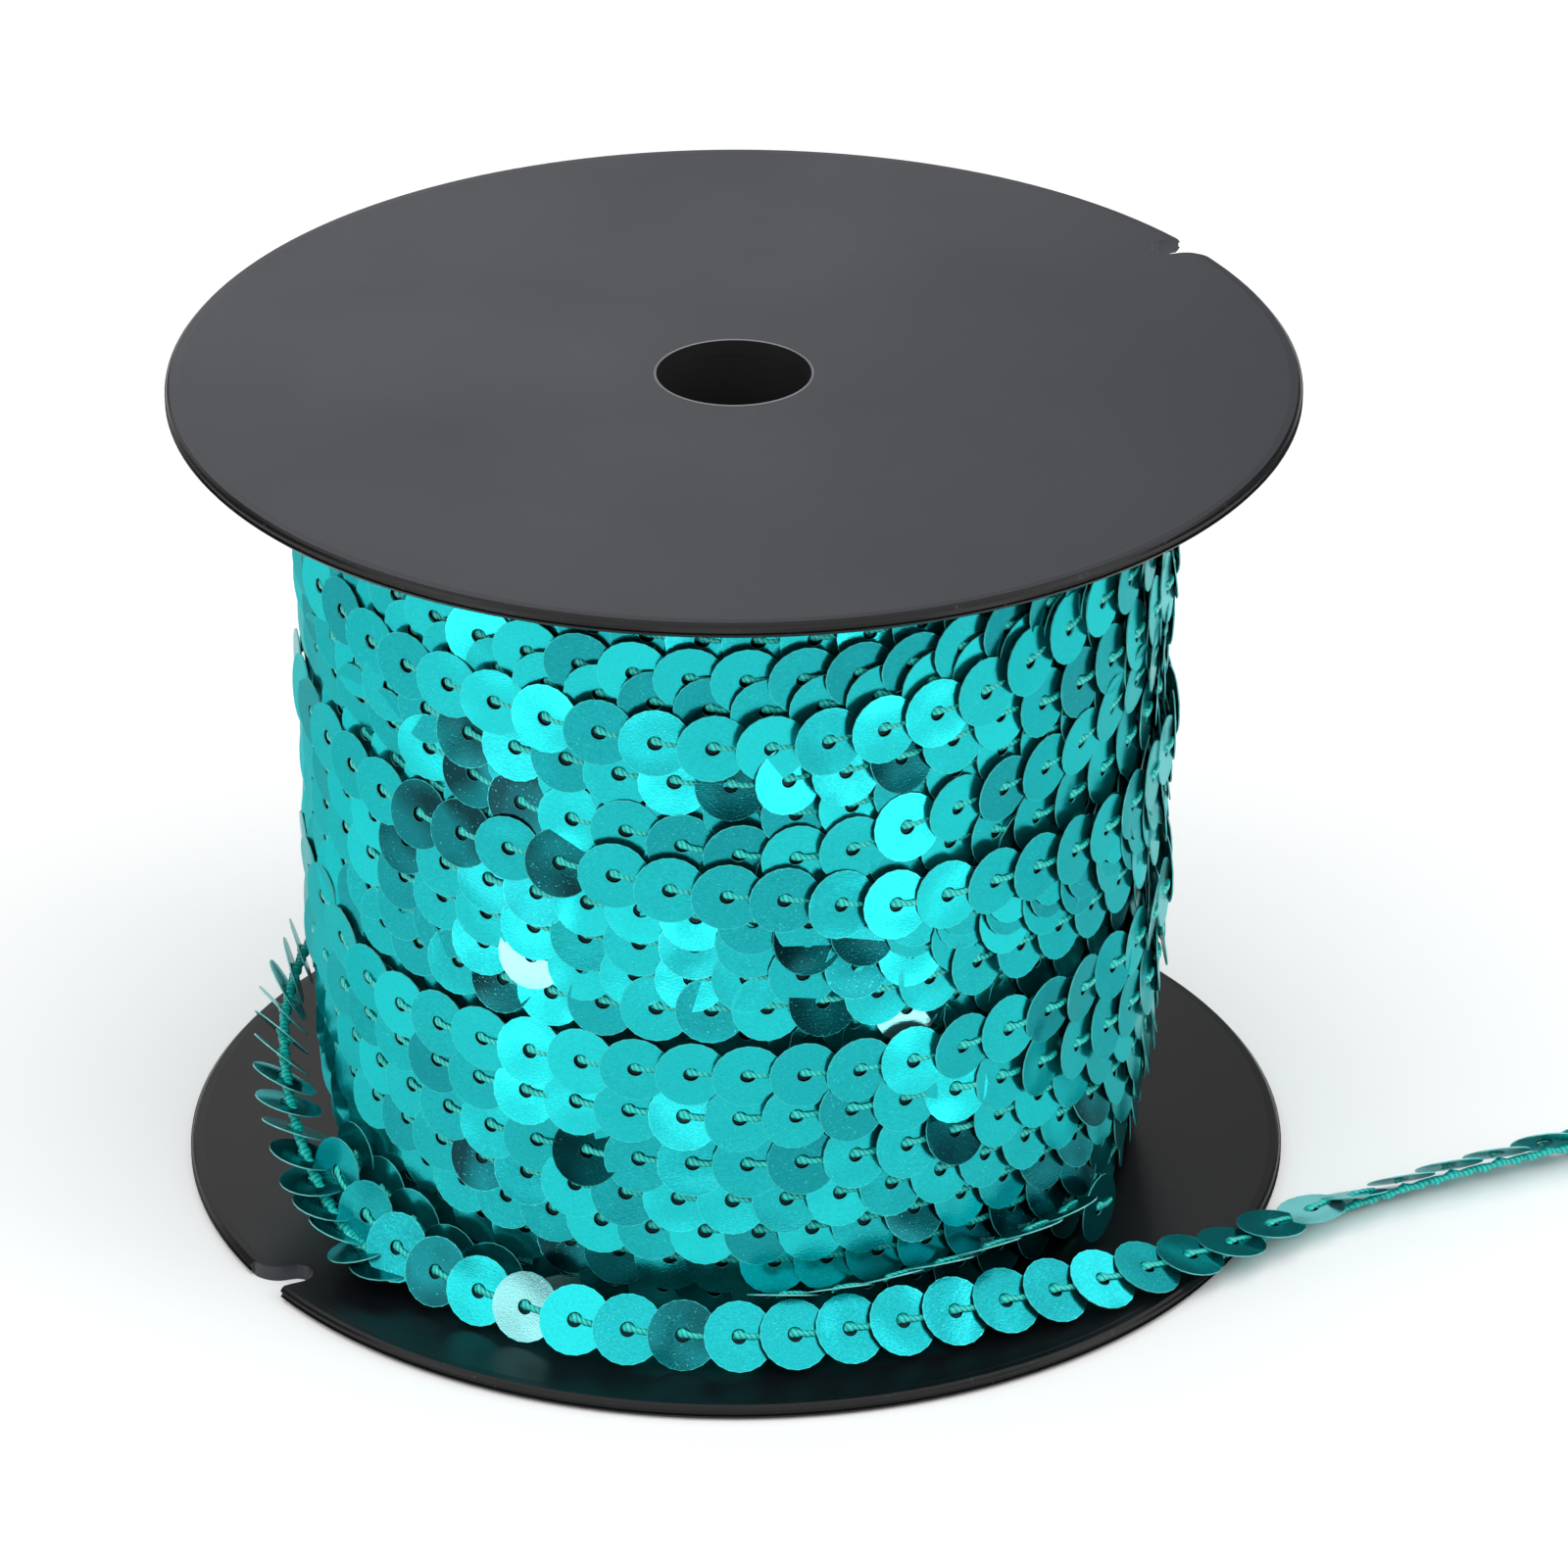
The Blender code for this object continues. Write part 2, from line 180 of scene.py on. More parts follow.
@dataclass(frozen=True)
class MetallisedFilm(Finish):
    """Polyester film, metallised in vacuum and lacquered teal, then punched into discs.

    It mirrors the room through its coloured lacquer. Each disc is a little buckled, so that its
    reflection bends, and finely scratched by its neighbours. Its colour also carries painted light:
    a painted highlight along the outer cut of each face, with grit specks, a painted dark reflection
    on the discs set dark, lighter to one side, a painted white glare on the discs set white, and
    painted shade on the dark plug behind each hole.
    """

    name: str = "metallised_polyester_film_punched"
    deep: str = "#0E888F"
    light: str = "#1CC4C7"
    unlit: str = "#03333A"
    painted_glare_colour: str = "#86CDCF"
    rim_highlight_and_grit: str = "#48CECB"
    shaded: str = "#021A1E"
    grazed: str = "#92DEDE"
    roughness: float = 0.19
    buckle_mm: float = 7.0
    buckle_depth: float = 0.00055
    scratch_mm: float = 0.12
    scratch_long: float = 2.5
    scratch_depth: float = 0.000013
    speck_mm: float = 0.16
    mottle: float = 0.18
    rim_highlight_from: float = 2.90

    def surface(self, tree: Tree) -> dict[str, object]:
        """Build the lacquer's tones, its painted light, its buckle and its wear.

        Args:
            tree: the material's node tree.

        Returns:
            The shader's inputs by name.
        """
        place = add_node(tree, "UVMap", {"uv_map": MAP_NAME}).outputs[0]
        shift, tone = (
            add_node(tree, "Attribute", {"attribute_name": name}).outputs["Fac"]
            for name in (SHIFT_NAME, TONE_NAME)
        )
        reach = add_node(tree, "VectorMath", {"operation": "LENGTH"}, (place,)).outputs["Value"]
        fine = 1 / self.scratch_mm
        stretched = add_node(
            tree, "Mapping", inputs={"Vector": place, "Scale": (fine / self.scratch_long, fine, 1)}
        ).outputs[0]
        buckle, scratches, grit = (
            add_node(
                tree,
                "TexNoise",
                {"noise_dimensions": "4D"},
                {"Vector": where, "W": shift, "Scale": scale, "Detail": detail},
            ).outputs["Fac"]
            for where, scale, detail in (
                (place, 1 / self.buckle_mm, 1.0), (stretched, 1.0, 2.0), (place, 1 / self.speck_mm, 0.0)
            )
        )
        # Mottle, painted dark reflection, painted glare, painted rim highlight, grit, painted shade
        # behind the hole
        mottle, painted_dark_share, painted_glare, edge, specks, behind = (
            add_node(tree, "MapRange", None, span).outputs[0]
            for span in (
                (scratches, 0.3, 0.7, -self.mottle, self.mottle),
                (tone, 0.0, -1.0),
                (tone, 1.0, 2.0),
                (reach, self.rim_highlight_from, DISC_R / MM),
                (grit, 0.72, 0.78, 0.0, 0.7),
                (reach, 0.66, 0.60),
            )
        )
        # The painted dark reflection fades towards one side, following the buckle's noise
        painted_dark_falloff = add_node(tree, "MapRange", None, (buckle, 0.40, 0.60, 0.35, painted_dark_share)).outputs[0]
        worn, painted_darkness, pale = (
            add_node(tree, "Math", {"operation": kind}, pair).outputs[0]
            for kind, *pair in (
                ("ADD", tone, mottle), ("MULTIPLY", painted_dark_share, painted_dark_falloff), ("MAXIMUM", edge, specks)
            )
        )
        # Layers over the deep lacquer: light lacquer, painted dark reflection, painted white glare,
        # painted rim highlight with grit, painted shade behind the hole
        colour = linear_rgba(self.deep)
        for share, code in (
            (worn, self.light),
            (painted_darkness, self.unlit),
            (painted_glare, self.painted_glare_colour),
            (pale, self.rim_highlight_and_grit),
            (behind, self.shaded),
        ):
            tints = {0: share, 6: colour, 7: linear_rgba(code)}
            colour = add_node(tree, "Mix", {"data_type": "RGBA"}, tints).outputs[2]
        bent = add_node(tree, "Bump", inputs={"Height": buckle, "Distance": self.buckle_depth})
        scratched = add_node(
            tree,
            "Bump",
            inputs={"Height": scratches, "Distance": self.scratch_depth, "Normal": bent.outputs[0]},
        )
        return {
            "Base Color": colour,
            "Metallic": 0.92,
            "Specular Tint": linear_rgba(self.grazed),
            "Roughness": self.roughness,
            "Coat Weight": 0.10,
            "Coat Roughness": 0.08,
            "Normal": scratched.outputs[0],
            "Coat Normal": bent.outputs[0],
        }


@dataclass(frozen=True)
class CutFilmEdge(Finish):
    """The punched edge of the film, where the clear polyester shows pale and catches the light."""

    name: str = "clear_polyester_punched_edge"
    pale: str = "#6FDCD8"
    shade: str = "#1C9A9A"

    def surface(self, tree: Tree) -> dict[str, object]:
        """Build the edge's uneven paleness.

        Args:
            tree: the material's node tree.

        Returns:
            The shader's inputs by name.
        """
        place = add_node(tree, "UVMap", {"uv_map": MAP_NAME}).outputs[0]
        burr = add_node(tree, "TexNoise", inputs={"Vector": place, "Scale": 0.8, "Detail": 2.0})
        tints = {0: burr.outputs["Fac"], 6: linear_rgba(self.shade), 7: linear_rgba(self.pale)}
        colour = add_node(tree, "Mix", {"data_type": "RGBA"}, tints)
        return {
            "Base Color": colour.outputs[2],
            "Roughness": 0.32,
            "IOR": 1.6,
            "Coat Weight": 0.5,
            "Coat Roughness": 0.12,
        }


@dataclass(frozen=True)
class TwistedThread(Finish):
    """Two-ply trilobal polyester thread, twisted tight, so that it shines on each ply; lighter on the
    top of each ply as painted highlight and darker in the grooves as painted shade.
    """

    name: str = "polyester_thread_two_ply"
    crown_highlight: str = "#36DCD3"
    groove_shade: str = "#139C9A"
    gleam: str = "#8FF2EC"
    lay_mm: float = 0.95
    ply_depth: float = 0.000028
    fibre_mm: float = 0.07
    fibre_depth: float = 0.00002

    def surface(self, tree: Tree) -> dict[str, object]:
        """Wind the plies and fibres; the map gives millimetres along and the angle round.

        Args:
            tree: the material's node tree.

        Returns:
            The shader's inputs by name.
        """
        place = add_node(tree, "UVMap", {"uv_map": MAP_NAME}).outputs[0]
        shift = add_node(tree, "Attribute", {"attribute_name": SHIFT_NAME}).outputs["Fac"]
        split = add_node(tree, "SeparateXYZ", None, (place,))
        turned = shift
        for side, turns in (("Y", 2.0), ("X", 2 * math.tau / self.lay_mm)):
            parts = (split.outputs[side], turns, turned)
            turned = add_node(tree, "Math", {"operation": "MULTIPLY_ADD"}, parts).outputs[0]
        plies = add_node(tree, "Math", {"operation": "COSINE"}, (turned,)).outputs[0]
        # Painted highlight on the top of each ply, painted shade in the grooves between
        crown_highlight = add_node(tree, "MapRange", {"interpolation_type": "SMOOTHSTEP"}, (plies, -1.0, 0.3))
        tints = {0: crown_highlight.outputs[0], 6: linear_rgba(self.groove_shade), 7: linear_rgba(self.crown_highlight)}
        colour = add_node(tree, "Mix", {"data_type": "RGBA"}, tints)
        fibres = add_node(
            tree, "TexNoise", inputs={"Vector": place, "Scale": 1 / self.fibre_mm, "Detail": 1.0}
        )
        laid = add_node(tree, "Bump", inputs={"Height": plies, "Distance": self.ply_depth})
        bump = add_node(
            tree,
            "Bump",
            inputs={
                "Height": fibres.outputs["Fac"],
                "Distance": self.fibre_depth,
                "Strength": 0.5,
                "Normal": laid.outputs[0],
            },
        )
        return {
            "Base Color": colour.outputs[2],
            "Roughness": 0.28,
            "IOR": 1.6,
            "Specular Tint": linear_rgba(self.gleam),
            "Coat Weight": 0.6,
            "Coat Tint": linear_rgba(self.gleam),
            "Coat Roughness": 0.15,
            "Normal": bump.outputs[0],
        }


@dataclass(frozen=True)
class ShadedFilm(Finish):
    """The film of the layers underneath, which get little light between the outer turns; its darker
    colour is painted shade.
    """

    name: str = "metallised_polyester_film_under_layers"
    light: str = "#12747A"
    dark: str = "#04262C"
    disc_mm: float = 3.4

    def surface(self, tree: Tree) -> dict[str, object]:
        """Break the surface into disc-sized facets, each with its own painted shade.

        Args:
            tree: the material's node tree.

        Returns:
            The shader's inputs by name.
        """
        spot = add_node(tree, "TexCoord").outputs["Object"]
        discs = add_node(tree, "TexVoronoi", inputs={"Vector": spot, "Scale": 1000 / self.disc_mm})
        shade = add_node(tree, "MapRange", None, (discs.outputs["Color"], 0.45, 1.0))
        tints = {0: shade.outputs[0], 6: linear_rgba(self.dark), 7: linear_rgba(self.light)}
        colour = add_node(tree, "Mix", {"data_type": "RGBA"}, tints)
        height = discs.outputs["Distance"]
        bump = add_node(tree, "Bump", inputs={"Height": height, "Distance": 0.0004})
        return {
            "Base Color": colour.outputs[2],
            "Metallic": 1.0,
            "Roughness": 0.34,
            "Normal": bump.outputs[0],
        }


@dataclass(frozen=True)
class MouldedPolystyrene(Finish):
    """Black polystyrene, injection moulded, with a fine grain and the light scuffs of handling."""

    colour: str
    roughness: float
    scuff: float
    shine: float = 0.5
    grain_mm: float = 0.35
    scuff_mm: float = 1.3
    scuffed: str = "#8C8C90"

    def surface(self, tree: Tree) -> dict[str, object]:
        """Build the grain, the scuffs and the uneven gloss.

        Args:
            tree: the material's node tree.

        Returns:
            The shader's inputs by name.
        """
        spot = add_node(tree, "TexCoord").outputs["Object"]
        grain, clouds, scuffs = (
            add_node(
                tree,
                "TexNoise",
                inputs={"Vector": spot, "Scale": 1000 / size, "Detail": detail, "Roughness": rough},
            ).outputs["Fac"]
            for size, detail, rough in (
                (self.grain_mm, 2.0, 0.5), (20 * self.scuff_mm, 3.0, 0.5), (self.scuff_mm, 6.0, 0.7)
            )
        )
        worn = add_node(tree, "MapRange", None, (scuffs, 0.62, 0.80, 0.0, self.scuff))
        tints = {0: worn.outputs[0], 6: linear_rgba(self.colour), 7: linear_rgba(self.scuffed)}
        colour = add_node(tree, "Mix", {"data_type": "RGBA"}, tints)
        least, most = self.roughness - 0.04, self.roughness + 0.04
        rough = add_node(tree, "MapRange", None, (clouds, 0.3, 0.7, least, most))
        bump = add_node(tree, "Bump", inputs={"Height": grain, "Distance": 0.000004, "Strength": 0.6})
        return {
            "Base Color": colour.outputs[2],
            "Roughness": rough.outputs[0],
            "IOR": 1.59,
            "Specular IOR Level": self.shine,
            "Normal": bump.outputs[0],
        }


@dataclass(frozen=True)
class StudioPaper(Finish):
    """Matt white background paper, with its faint tooth."""

    name: str = "background_paper_matt"
    colour: str = "#FAFAFA"

    def surface(self, tree: Tree) -> dict[str, object]:
        """Build the paper's tooth.

        Args:
            tree: the material's node tree.

        Returns:
            The shader's inputs by name.
        """
        spot = add_node(tree, "TexCoord").outputs["Object"]
        tooth = add_node(tree, "TexNoise", inputs={"Vector": spot, "Scale": 900.0})
        bump = add_node(
            tree, "Bump", inputs={"Height": tooth.outputs["Fac"], "Distance": 0.00002, "Strength": 0.3}
        )
        return {"Base Color": linear_rgba(self.colour), "Roughness": 0.9, "Normal": bump.outputs[0]}


def finish_piece(
    name: str, mesh: Mesh, replaced: tuple[str, ...] = (), sharp_degrees: float = 35.0
) -> bpy.types.Object:
    """Put a finished mesh into the scene, riding on the reel.

    Args:
        name: the piece's name.
        mesh: its mesh, with its place in its vertices and its materials set.
        replaced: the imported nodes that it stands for.
        sharp_degrees: edges that turn by more than this stay sharp.

    Returns:
        The piece.
    """
    mesh.name = name
    mesh.shade_smooth()
    mesh.set_sharp_from_angle(angle=math.radians(sharp_degrees))
    piece = bpy.data.objects.new(name, mesh)
    bpy.context.scene.collection.objects.link(piece)
    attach(piece, BODY)
    if replaced:
        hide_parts(*replaced)
    LOG.info("%s: %d faces", name, len(mesh.polygons))
    return piece


def turn_profile(profile: list[tuple[float, float]], steps: int) -> BMesh:
    """Turn a closed section about the reel's axis.

    Args:
        profile: (radius, height) points round the section.
        steps: facets in a full turn.

    Returns:
        The turned solid.
    """
    work = bmesh.new()
    verts = [work.verts.new((radius, 0.0, height)) for radius, height in profile]
    edges = [work.edges.new((verts[i - 1], verts[i])) for i in range(len(verts))]
    bmesh.ops.spin(
        work,
        geom=verts + edges,
        cent=(0, 0, 0),
        axis=(0, 0, 1),
        angle=math.tau,
        steps=steps,
        use_merge=True,
    )
    bmesh.ops.remove_doubles(work, verts=work.verts, dist=1e-7)
    bmesh.ops.recalc_face_normals(work, faces=work.faces)
    return work


def on_reel(degrees: float, radius: float, height: float) -> Vector:
    """Return the point at an angle from the front, a radius and a height."""
    angle = math.radians(degrees)
    return Vector((radius * math.sin(angle), -radius * math.cos(angle), height))


def outline_radius(height: float) -> float:
    """Return the winding's radius at a height, in metres."""
    heights, radii = zip(*WINDING_OUTLINE)
    return float(np.interp(height, heights, radii))


class SmoothLine:
    """One value that changes smoothly along an angle, through given knots."""

    def __init__(self, knots: list[tuple[float, float]]) -> None:
        """Keep the knots and work out the slope at each.

        Args:
            knots: (angle, value) pairs in rising order of angle.
        """
        self.at_angle = [angle for angle, _ in knots]
        self.value = [value for _, value in knots]
        last = len(knots) - 1
        self.slope = []
        for i in range(len(knots)):
            before, after = max(i - 1, 0), min(i + 1, last)
            rise = self.value[after] - self.value[before]
            self.slope.append(rise / (self.at_angle[after] - self.at_angle[before]))

    def at(self, angle: float) -> float:
        """Read the value at an angle.

        Args:
            angle: the angle, held to the span of the knots.

        Returns:
            The value there.
        """
        angle = min(max(angle, self.at_angle[0]), self.at_angle[-1])
        i = max(0, min(int(np.searchsorted(self.at_angle, angle)) - 1, len(self.at_angle) - 2))
        span = self.at_angle[i + 1] - self.at_angle[i]
        t = (angle - self.at_angle[i]) / span
        rest = 1 - t
        return (
            self.value[i] * (1 + 2 * t) * rest * rest
            + self.slope[i] * span * t * rest * rest
            + self.value[i + 1] * t * t * (3 - 2 * t)
            - self.slope[i + 1] * span * t * t * rest
        )


class Glint(Enum):
    """What one disc mirrors, where it differs from its neighbours, and the tone that paints it: a
    painted dark reflection for DARK, light lacquer as painted highlight for BRIGHT, a painted white
    glare for WHITE.
    """

    DARK = -1.0
    BRIGHT = 0.9
    WHITE = 2.0


@dataclass(frozen=True)
class Seat:
    """The place of one disc on its thread.

    Attributes:
        centre: the middle of its hole.
        along: the way the thread runs, to the next disc.
        face: the way its face looks.
        tone: how light its lacquer is, from 0 to 1; towards -1 how strong its painted dark reflection,
            towards 2 how strong its painted white glare.
    """

    centre: Vector
    along: Vector
    face: Vector
    tone: float = 0.5

    def matrix(self) -> Matrix:
        """Build the disc's own frame.

        Returns:
            The frame, with X along the thread and Z out of the disc's face.
        """
        z_axis = self.face.normalized()
        x_axis = (self.along - z_axis * self.along.dot(z_axis)).normalized()
        y_axis = z_axis.cross(x_axis)
        turn = Matrix((x_axis, y_axis, z_axis)).transposed().to_4x4()
        return Matrix.Translation(self.centre) @ turn

    def sunk(self, depth: float) -> Seat:
        """Return the seat moved back, against its face."""
        return replace(self, centre=self.centre - self.face.normalized() * depth)

    def tipped(self, sideways: float, upwards: float, tone: float) -> Seat:
        """Tip the disc on its thread.

        Args:
            sideways: degrees that the face turns along the thread.
            upwards: degrees that the face turns about the thread, up.
            tone: its new tone.

        Returns:
            The tipped seat.
        """
        frame_now = self.matrix()
        x_axis, y_axis = frame_now.col[0].to_3d(), frame_now.col[1].to_3d()
        face = Quaternion(y_axis, math.radians(sideways)) @ self.face
        face = Quaternion(x_axis, -math.radians(upwards)) @ face
        return Seat(self.centre, self.along, face, tone)

    def catching(self, glint: Glint) -> Seat:
        """Turn the disc so that the photograph sees something else mirrored in it.

        Args:
            glint: dark for the room just above the floor's edge, else the lamp that is nearest.

        Returns:
            The turned seat, in the glint's tone, which paints the glint into its colour.
        """
        view = (Vector(CAMERA_AT) - self.centre).normalized()
        face = self.face.normalized()
        if glint is Glint.DARK:
            mirrored = 2 * view.dot(face) * face - view
            level = Vector((mirrored.x, mirrored.y, 0)).normalized()
            ways = [level + Vector((0, 0, DARK_ABOVE))]
        else:
            x, y, z = FLOOR_LAMP_AT
            lamps = ((x, y, z), (-x, y, z), HIGH_LAMP_AT)
            ways = [Vector(lamp) - self.centre for lamp in lamps]
        halves = [(view + way.normalized()).normalized() for way in ways]
        nearest = min(halves, key=face.angle)
        reach = DARK_REACH if glint is Glint.DARK else LAMP_REACH
        share = min(1.0, math.radians(reach) / max(face.angle(nearest), 1e-6))
        return Seat(self.centre, self.along, face.slerp(nearest, share), glint.value)


@dataclass
class Disc:
    """One sequin: a thin round disc of film, with a dark plug behind its hole as painted shade."""

    radius: float = DISC_R
    hole: float = 0.00066
    thickness: float = 0.00011
    shade_r: float = 0.0008
    shade_sides: int = 7
    steps: int = 20

    def build(self) -> Mesh:
        """Model the disc, flat about the origin, with its face towards +Z.

        Returns:
            Its mesh: film in the first material, and cut edges in the second.
        """
        half = self.thickness / 2
        work = turn_profile(
            [(self.hole, -half), (self.radius, -half), (self.radius, half), (self.hole, half)],
            self.steps,
        )
        # A dark plug behind the hole, painted shade; its halved map makes the film paint it dark
        shade = bmesh.ops.create_circle(
            work, cap_ends=True, segments=self.shade_sides, radius=self.shade_r
        )["verts"]
        bmesh.ops.translate(work, verts=shade, vec=(0, 0, -1.5 * self.thickness))
        layer = work.loops.layers.uv.new(MAP_NAME)
        for face in work.faces:
            face.material_index = 0 if abs(face.normal.z) > 0.5 else 1
            for loop in face.loops:
                loop[layer].uv = loop.vert.co.xy * (0.5 if loop.vert in shade else 1) / MM
        return mesh_from(work)


# The thread's middle at places along one disc: along, sideways and height in mm, and its swelling
OVER_THE_DISC = (
    (-0.48, 0.12, -0.18, 1.1),
    (-0.22, 0.17, -0.02, 1.6),
    (0.10, 0.16, 0.08, 1.7),
    (0.46, 0.08, 0.14, 1.1),
    (0.90, 0.00, 0.18, 1.1),
    (1.45, 0.00, 0.17, 1.1),
    (2.10, 0.00, 0.10, 1.0),
)
BEHIND_THE_DISC = (
    (-2.35, 0.00, -0.85, 0.8),
    (-1.60, 0.06, -0.98, 1.3),
    (-0.80, 0.00, -0.92, 0.8),
    (0.00, -0.06, -0.80, 1.4),
    (0.80, 0.00, -0.92, 0.8),
    (1.60, 0.06, -0.98, 1.3),
    (2.35, 0.00, -0.85, 0.8),
)


@dataclass
class Stitch:
    """A length of the thread at one disc.

    Attributes:
        line: the thread's middle and swelling at places along the disc.
        width: across the thread, along the disc's face.
        depth: across the thread, out of the disc's face.
        sides: facets round it.
    """

    line: tuple[tuple[float, float, float, float], ...] = OVER_THE_DISC
    width: float = 0.00050
    depth: float = 0.00030
    sides: int = 8

    def build(self) -> Mesh:
        """Model the thread at a disc at the origin, along +X.

        Returns:
            Its mesh, mapped by millimetres along it and the angle round it.
        """
        work = bmesh.new()
        ring = bmesh.ops.create_circle(work, segments=self.sides, radius=0.5)["verts"]
        upright = Matrix.Rotation(math.pi / 2, 3, "Y")
        bmesh.ops.rotate(work, verts=ring, cent=(0, 0, 0), matrix=upright)
        edges = list({edge for vert in ring for edge in vert.link_edges})
        bmesh.ops.spin(
            work,
            geom=ring + edges,
            cent=(0, 0, 0),
            axis=(1, 0, 0),
            dvec=(1, 0, 0),
            angle=0.0,
            steps=len(self.line) - 1,
        )
        layer = work.loops.layers.uv.new(MAP_NAME)
        for face in work.faces:
            middle = face.calc_center_median()
            facing = math.atan2(middle.y, middle.z)
            for loop in face.loops:
                x, y, z = loop.vert.co
                off = math.remainder(math.atan2(y, z) - facing, math.tau)
                loop[layer].uv = (self.line[round(x)][0], facing + off)
        ends = [edge for edge in work.edges if edge.is_boundary]
        bmesh.ops.holes_fill(work, edges=ends)
        for vert in work.verts:
            along, sideways, height, swelling = self.line[round(vert.co.x)]
            y = vert.co.y * self.width * swelling + sideways * MM
            z = vert.co.z * self.depth * swelling + height * MM
            vert.co = (along * MM, y, z)
        bmesh.ops.recalc_face_normals(work, faces=work.faces)
        return mesh_from(work)


def mesh_from(work: BMesh) -> Mesh:
    """Turn the working mesh into a mesh, and free it.

    Args:
        work: the working mesh.

    Returns:
        The mesh.
    """
    mesh = bpy.data.meshes.new("work")
    work.to_mesh(mesh)
    work.free()
    return mesh


def stamp(pattern: Mesh, seats: list[Seat], materials: tuple[Material, ...], seed: int) -> Mesh:
    """Set a copy of a pattern at every seat.

    Args:
        pattern: the mesh that is repeated.
        seats: where the copies go.
        materials: the mesh's materials.
        seed: for the shift of each copy's texture, so that no two look alike.

    Returns:
        One mesh of all the copies, each with its seat's tone.
    """
    work = bmesh.new()
    for seat in seats:
        first = len(work.verts)
        work.from_mesh(pattern)
        work.verts.ensure_lookup_table()
        bmesh.ops.transform(work, matrix=seat.matrix(), verts=work.verts[first:])
    mesh = mesh_from(work)
    shifts = np.random.default_rng(seed).uniform(0, 500, len(seats))
    tones = [seat.tone for seat in seats]
    for name, values in ((TONE_NAME, tones), (SHIFT_NAME, shifts)):
        spread = np.repeat(np.asarray(values, np.float32), len(pattern.polygons))
        mesh.attributes.new(name, "FLOAT", "FACE").data.foreach_set("value", spread)
    for material in materials:
        mesh.materials.append(material)
    return mesh


@dataclass
class TrimMaker:
    """Turns seats into discs and thread, with the trim's finishes."""

    film: Material
    edge: Material
    thread: Material

    def discs(self, seats: list[Seat], seed: int) -> Mesh:
        """Return the discs at these seats as one mesh."""
        return stamp(Disc().build(), seats, (self.film, self.edge), seed)

    def inner_discs(self, seats: list[Seat], seed: int) -> Mesh:
        """Return discs that show only between others, with fewer facets."""
        return stamp(Disc(steps=12).build(), seats, (self.film, self.edge), seed)

    def stitches(self, seats: list[Seat], seed: int) -> Mesh:
        """Return the thread over these seats as one mesh."""
        return stamp(Stitch().build(), seats, (self.thread,), seed)

    def chain(self, seats: list[Seat], seed: int) -> Mesh:
        """Return the chain of thread behind these seats as one mesh."""
        stitch = Stitch(BEHIND_THE_DISC, CHAIN_WIDTH, 0.7 * CHAIN_WIDTH)
        return stamp(stitch.build(), seats, (self.thread,), seed)


@dataclass(frozen=True)
class Turn:
    """One turn of the winding, as it runs across the front.

    Attributes:
        marks: (degrees, height in mm) of points that it runs through.
        phase: degrees of the disc that is nearest the front.
        lift: how far it stands out from the winding's face, in mm.
        lean: degrees that its faces look up; the row above then covers the row below.
        glints: (degrees, glint) of discs that catch the light in their own way, turned and with the
            glint's painted tone.
        curl: degrees that the left edge of each disc is raised off its neighbour.
    """

    marks: tuple[tuple[float, float], ...]
    phase: float
    lift: float
    lean: float
    glints: tuple[tuple[float, Glint], ...] = ()
    curl: float = CURL


D, B, W = Glint.DARK, Glint.BRIGHT, Glint.WHITE

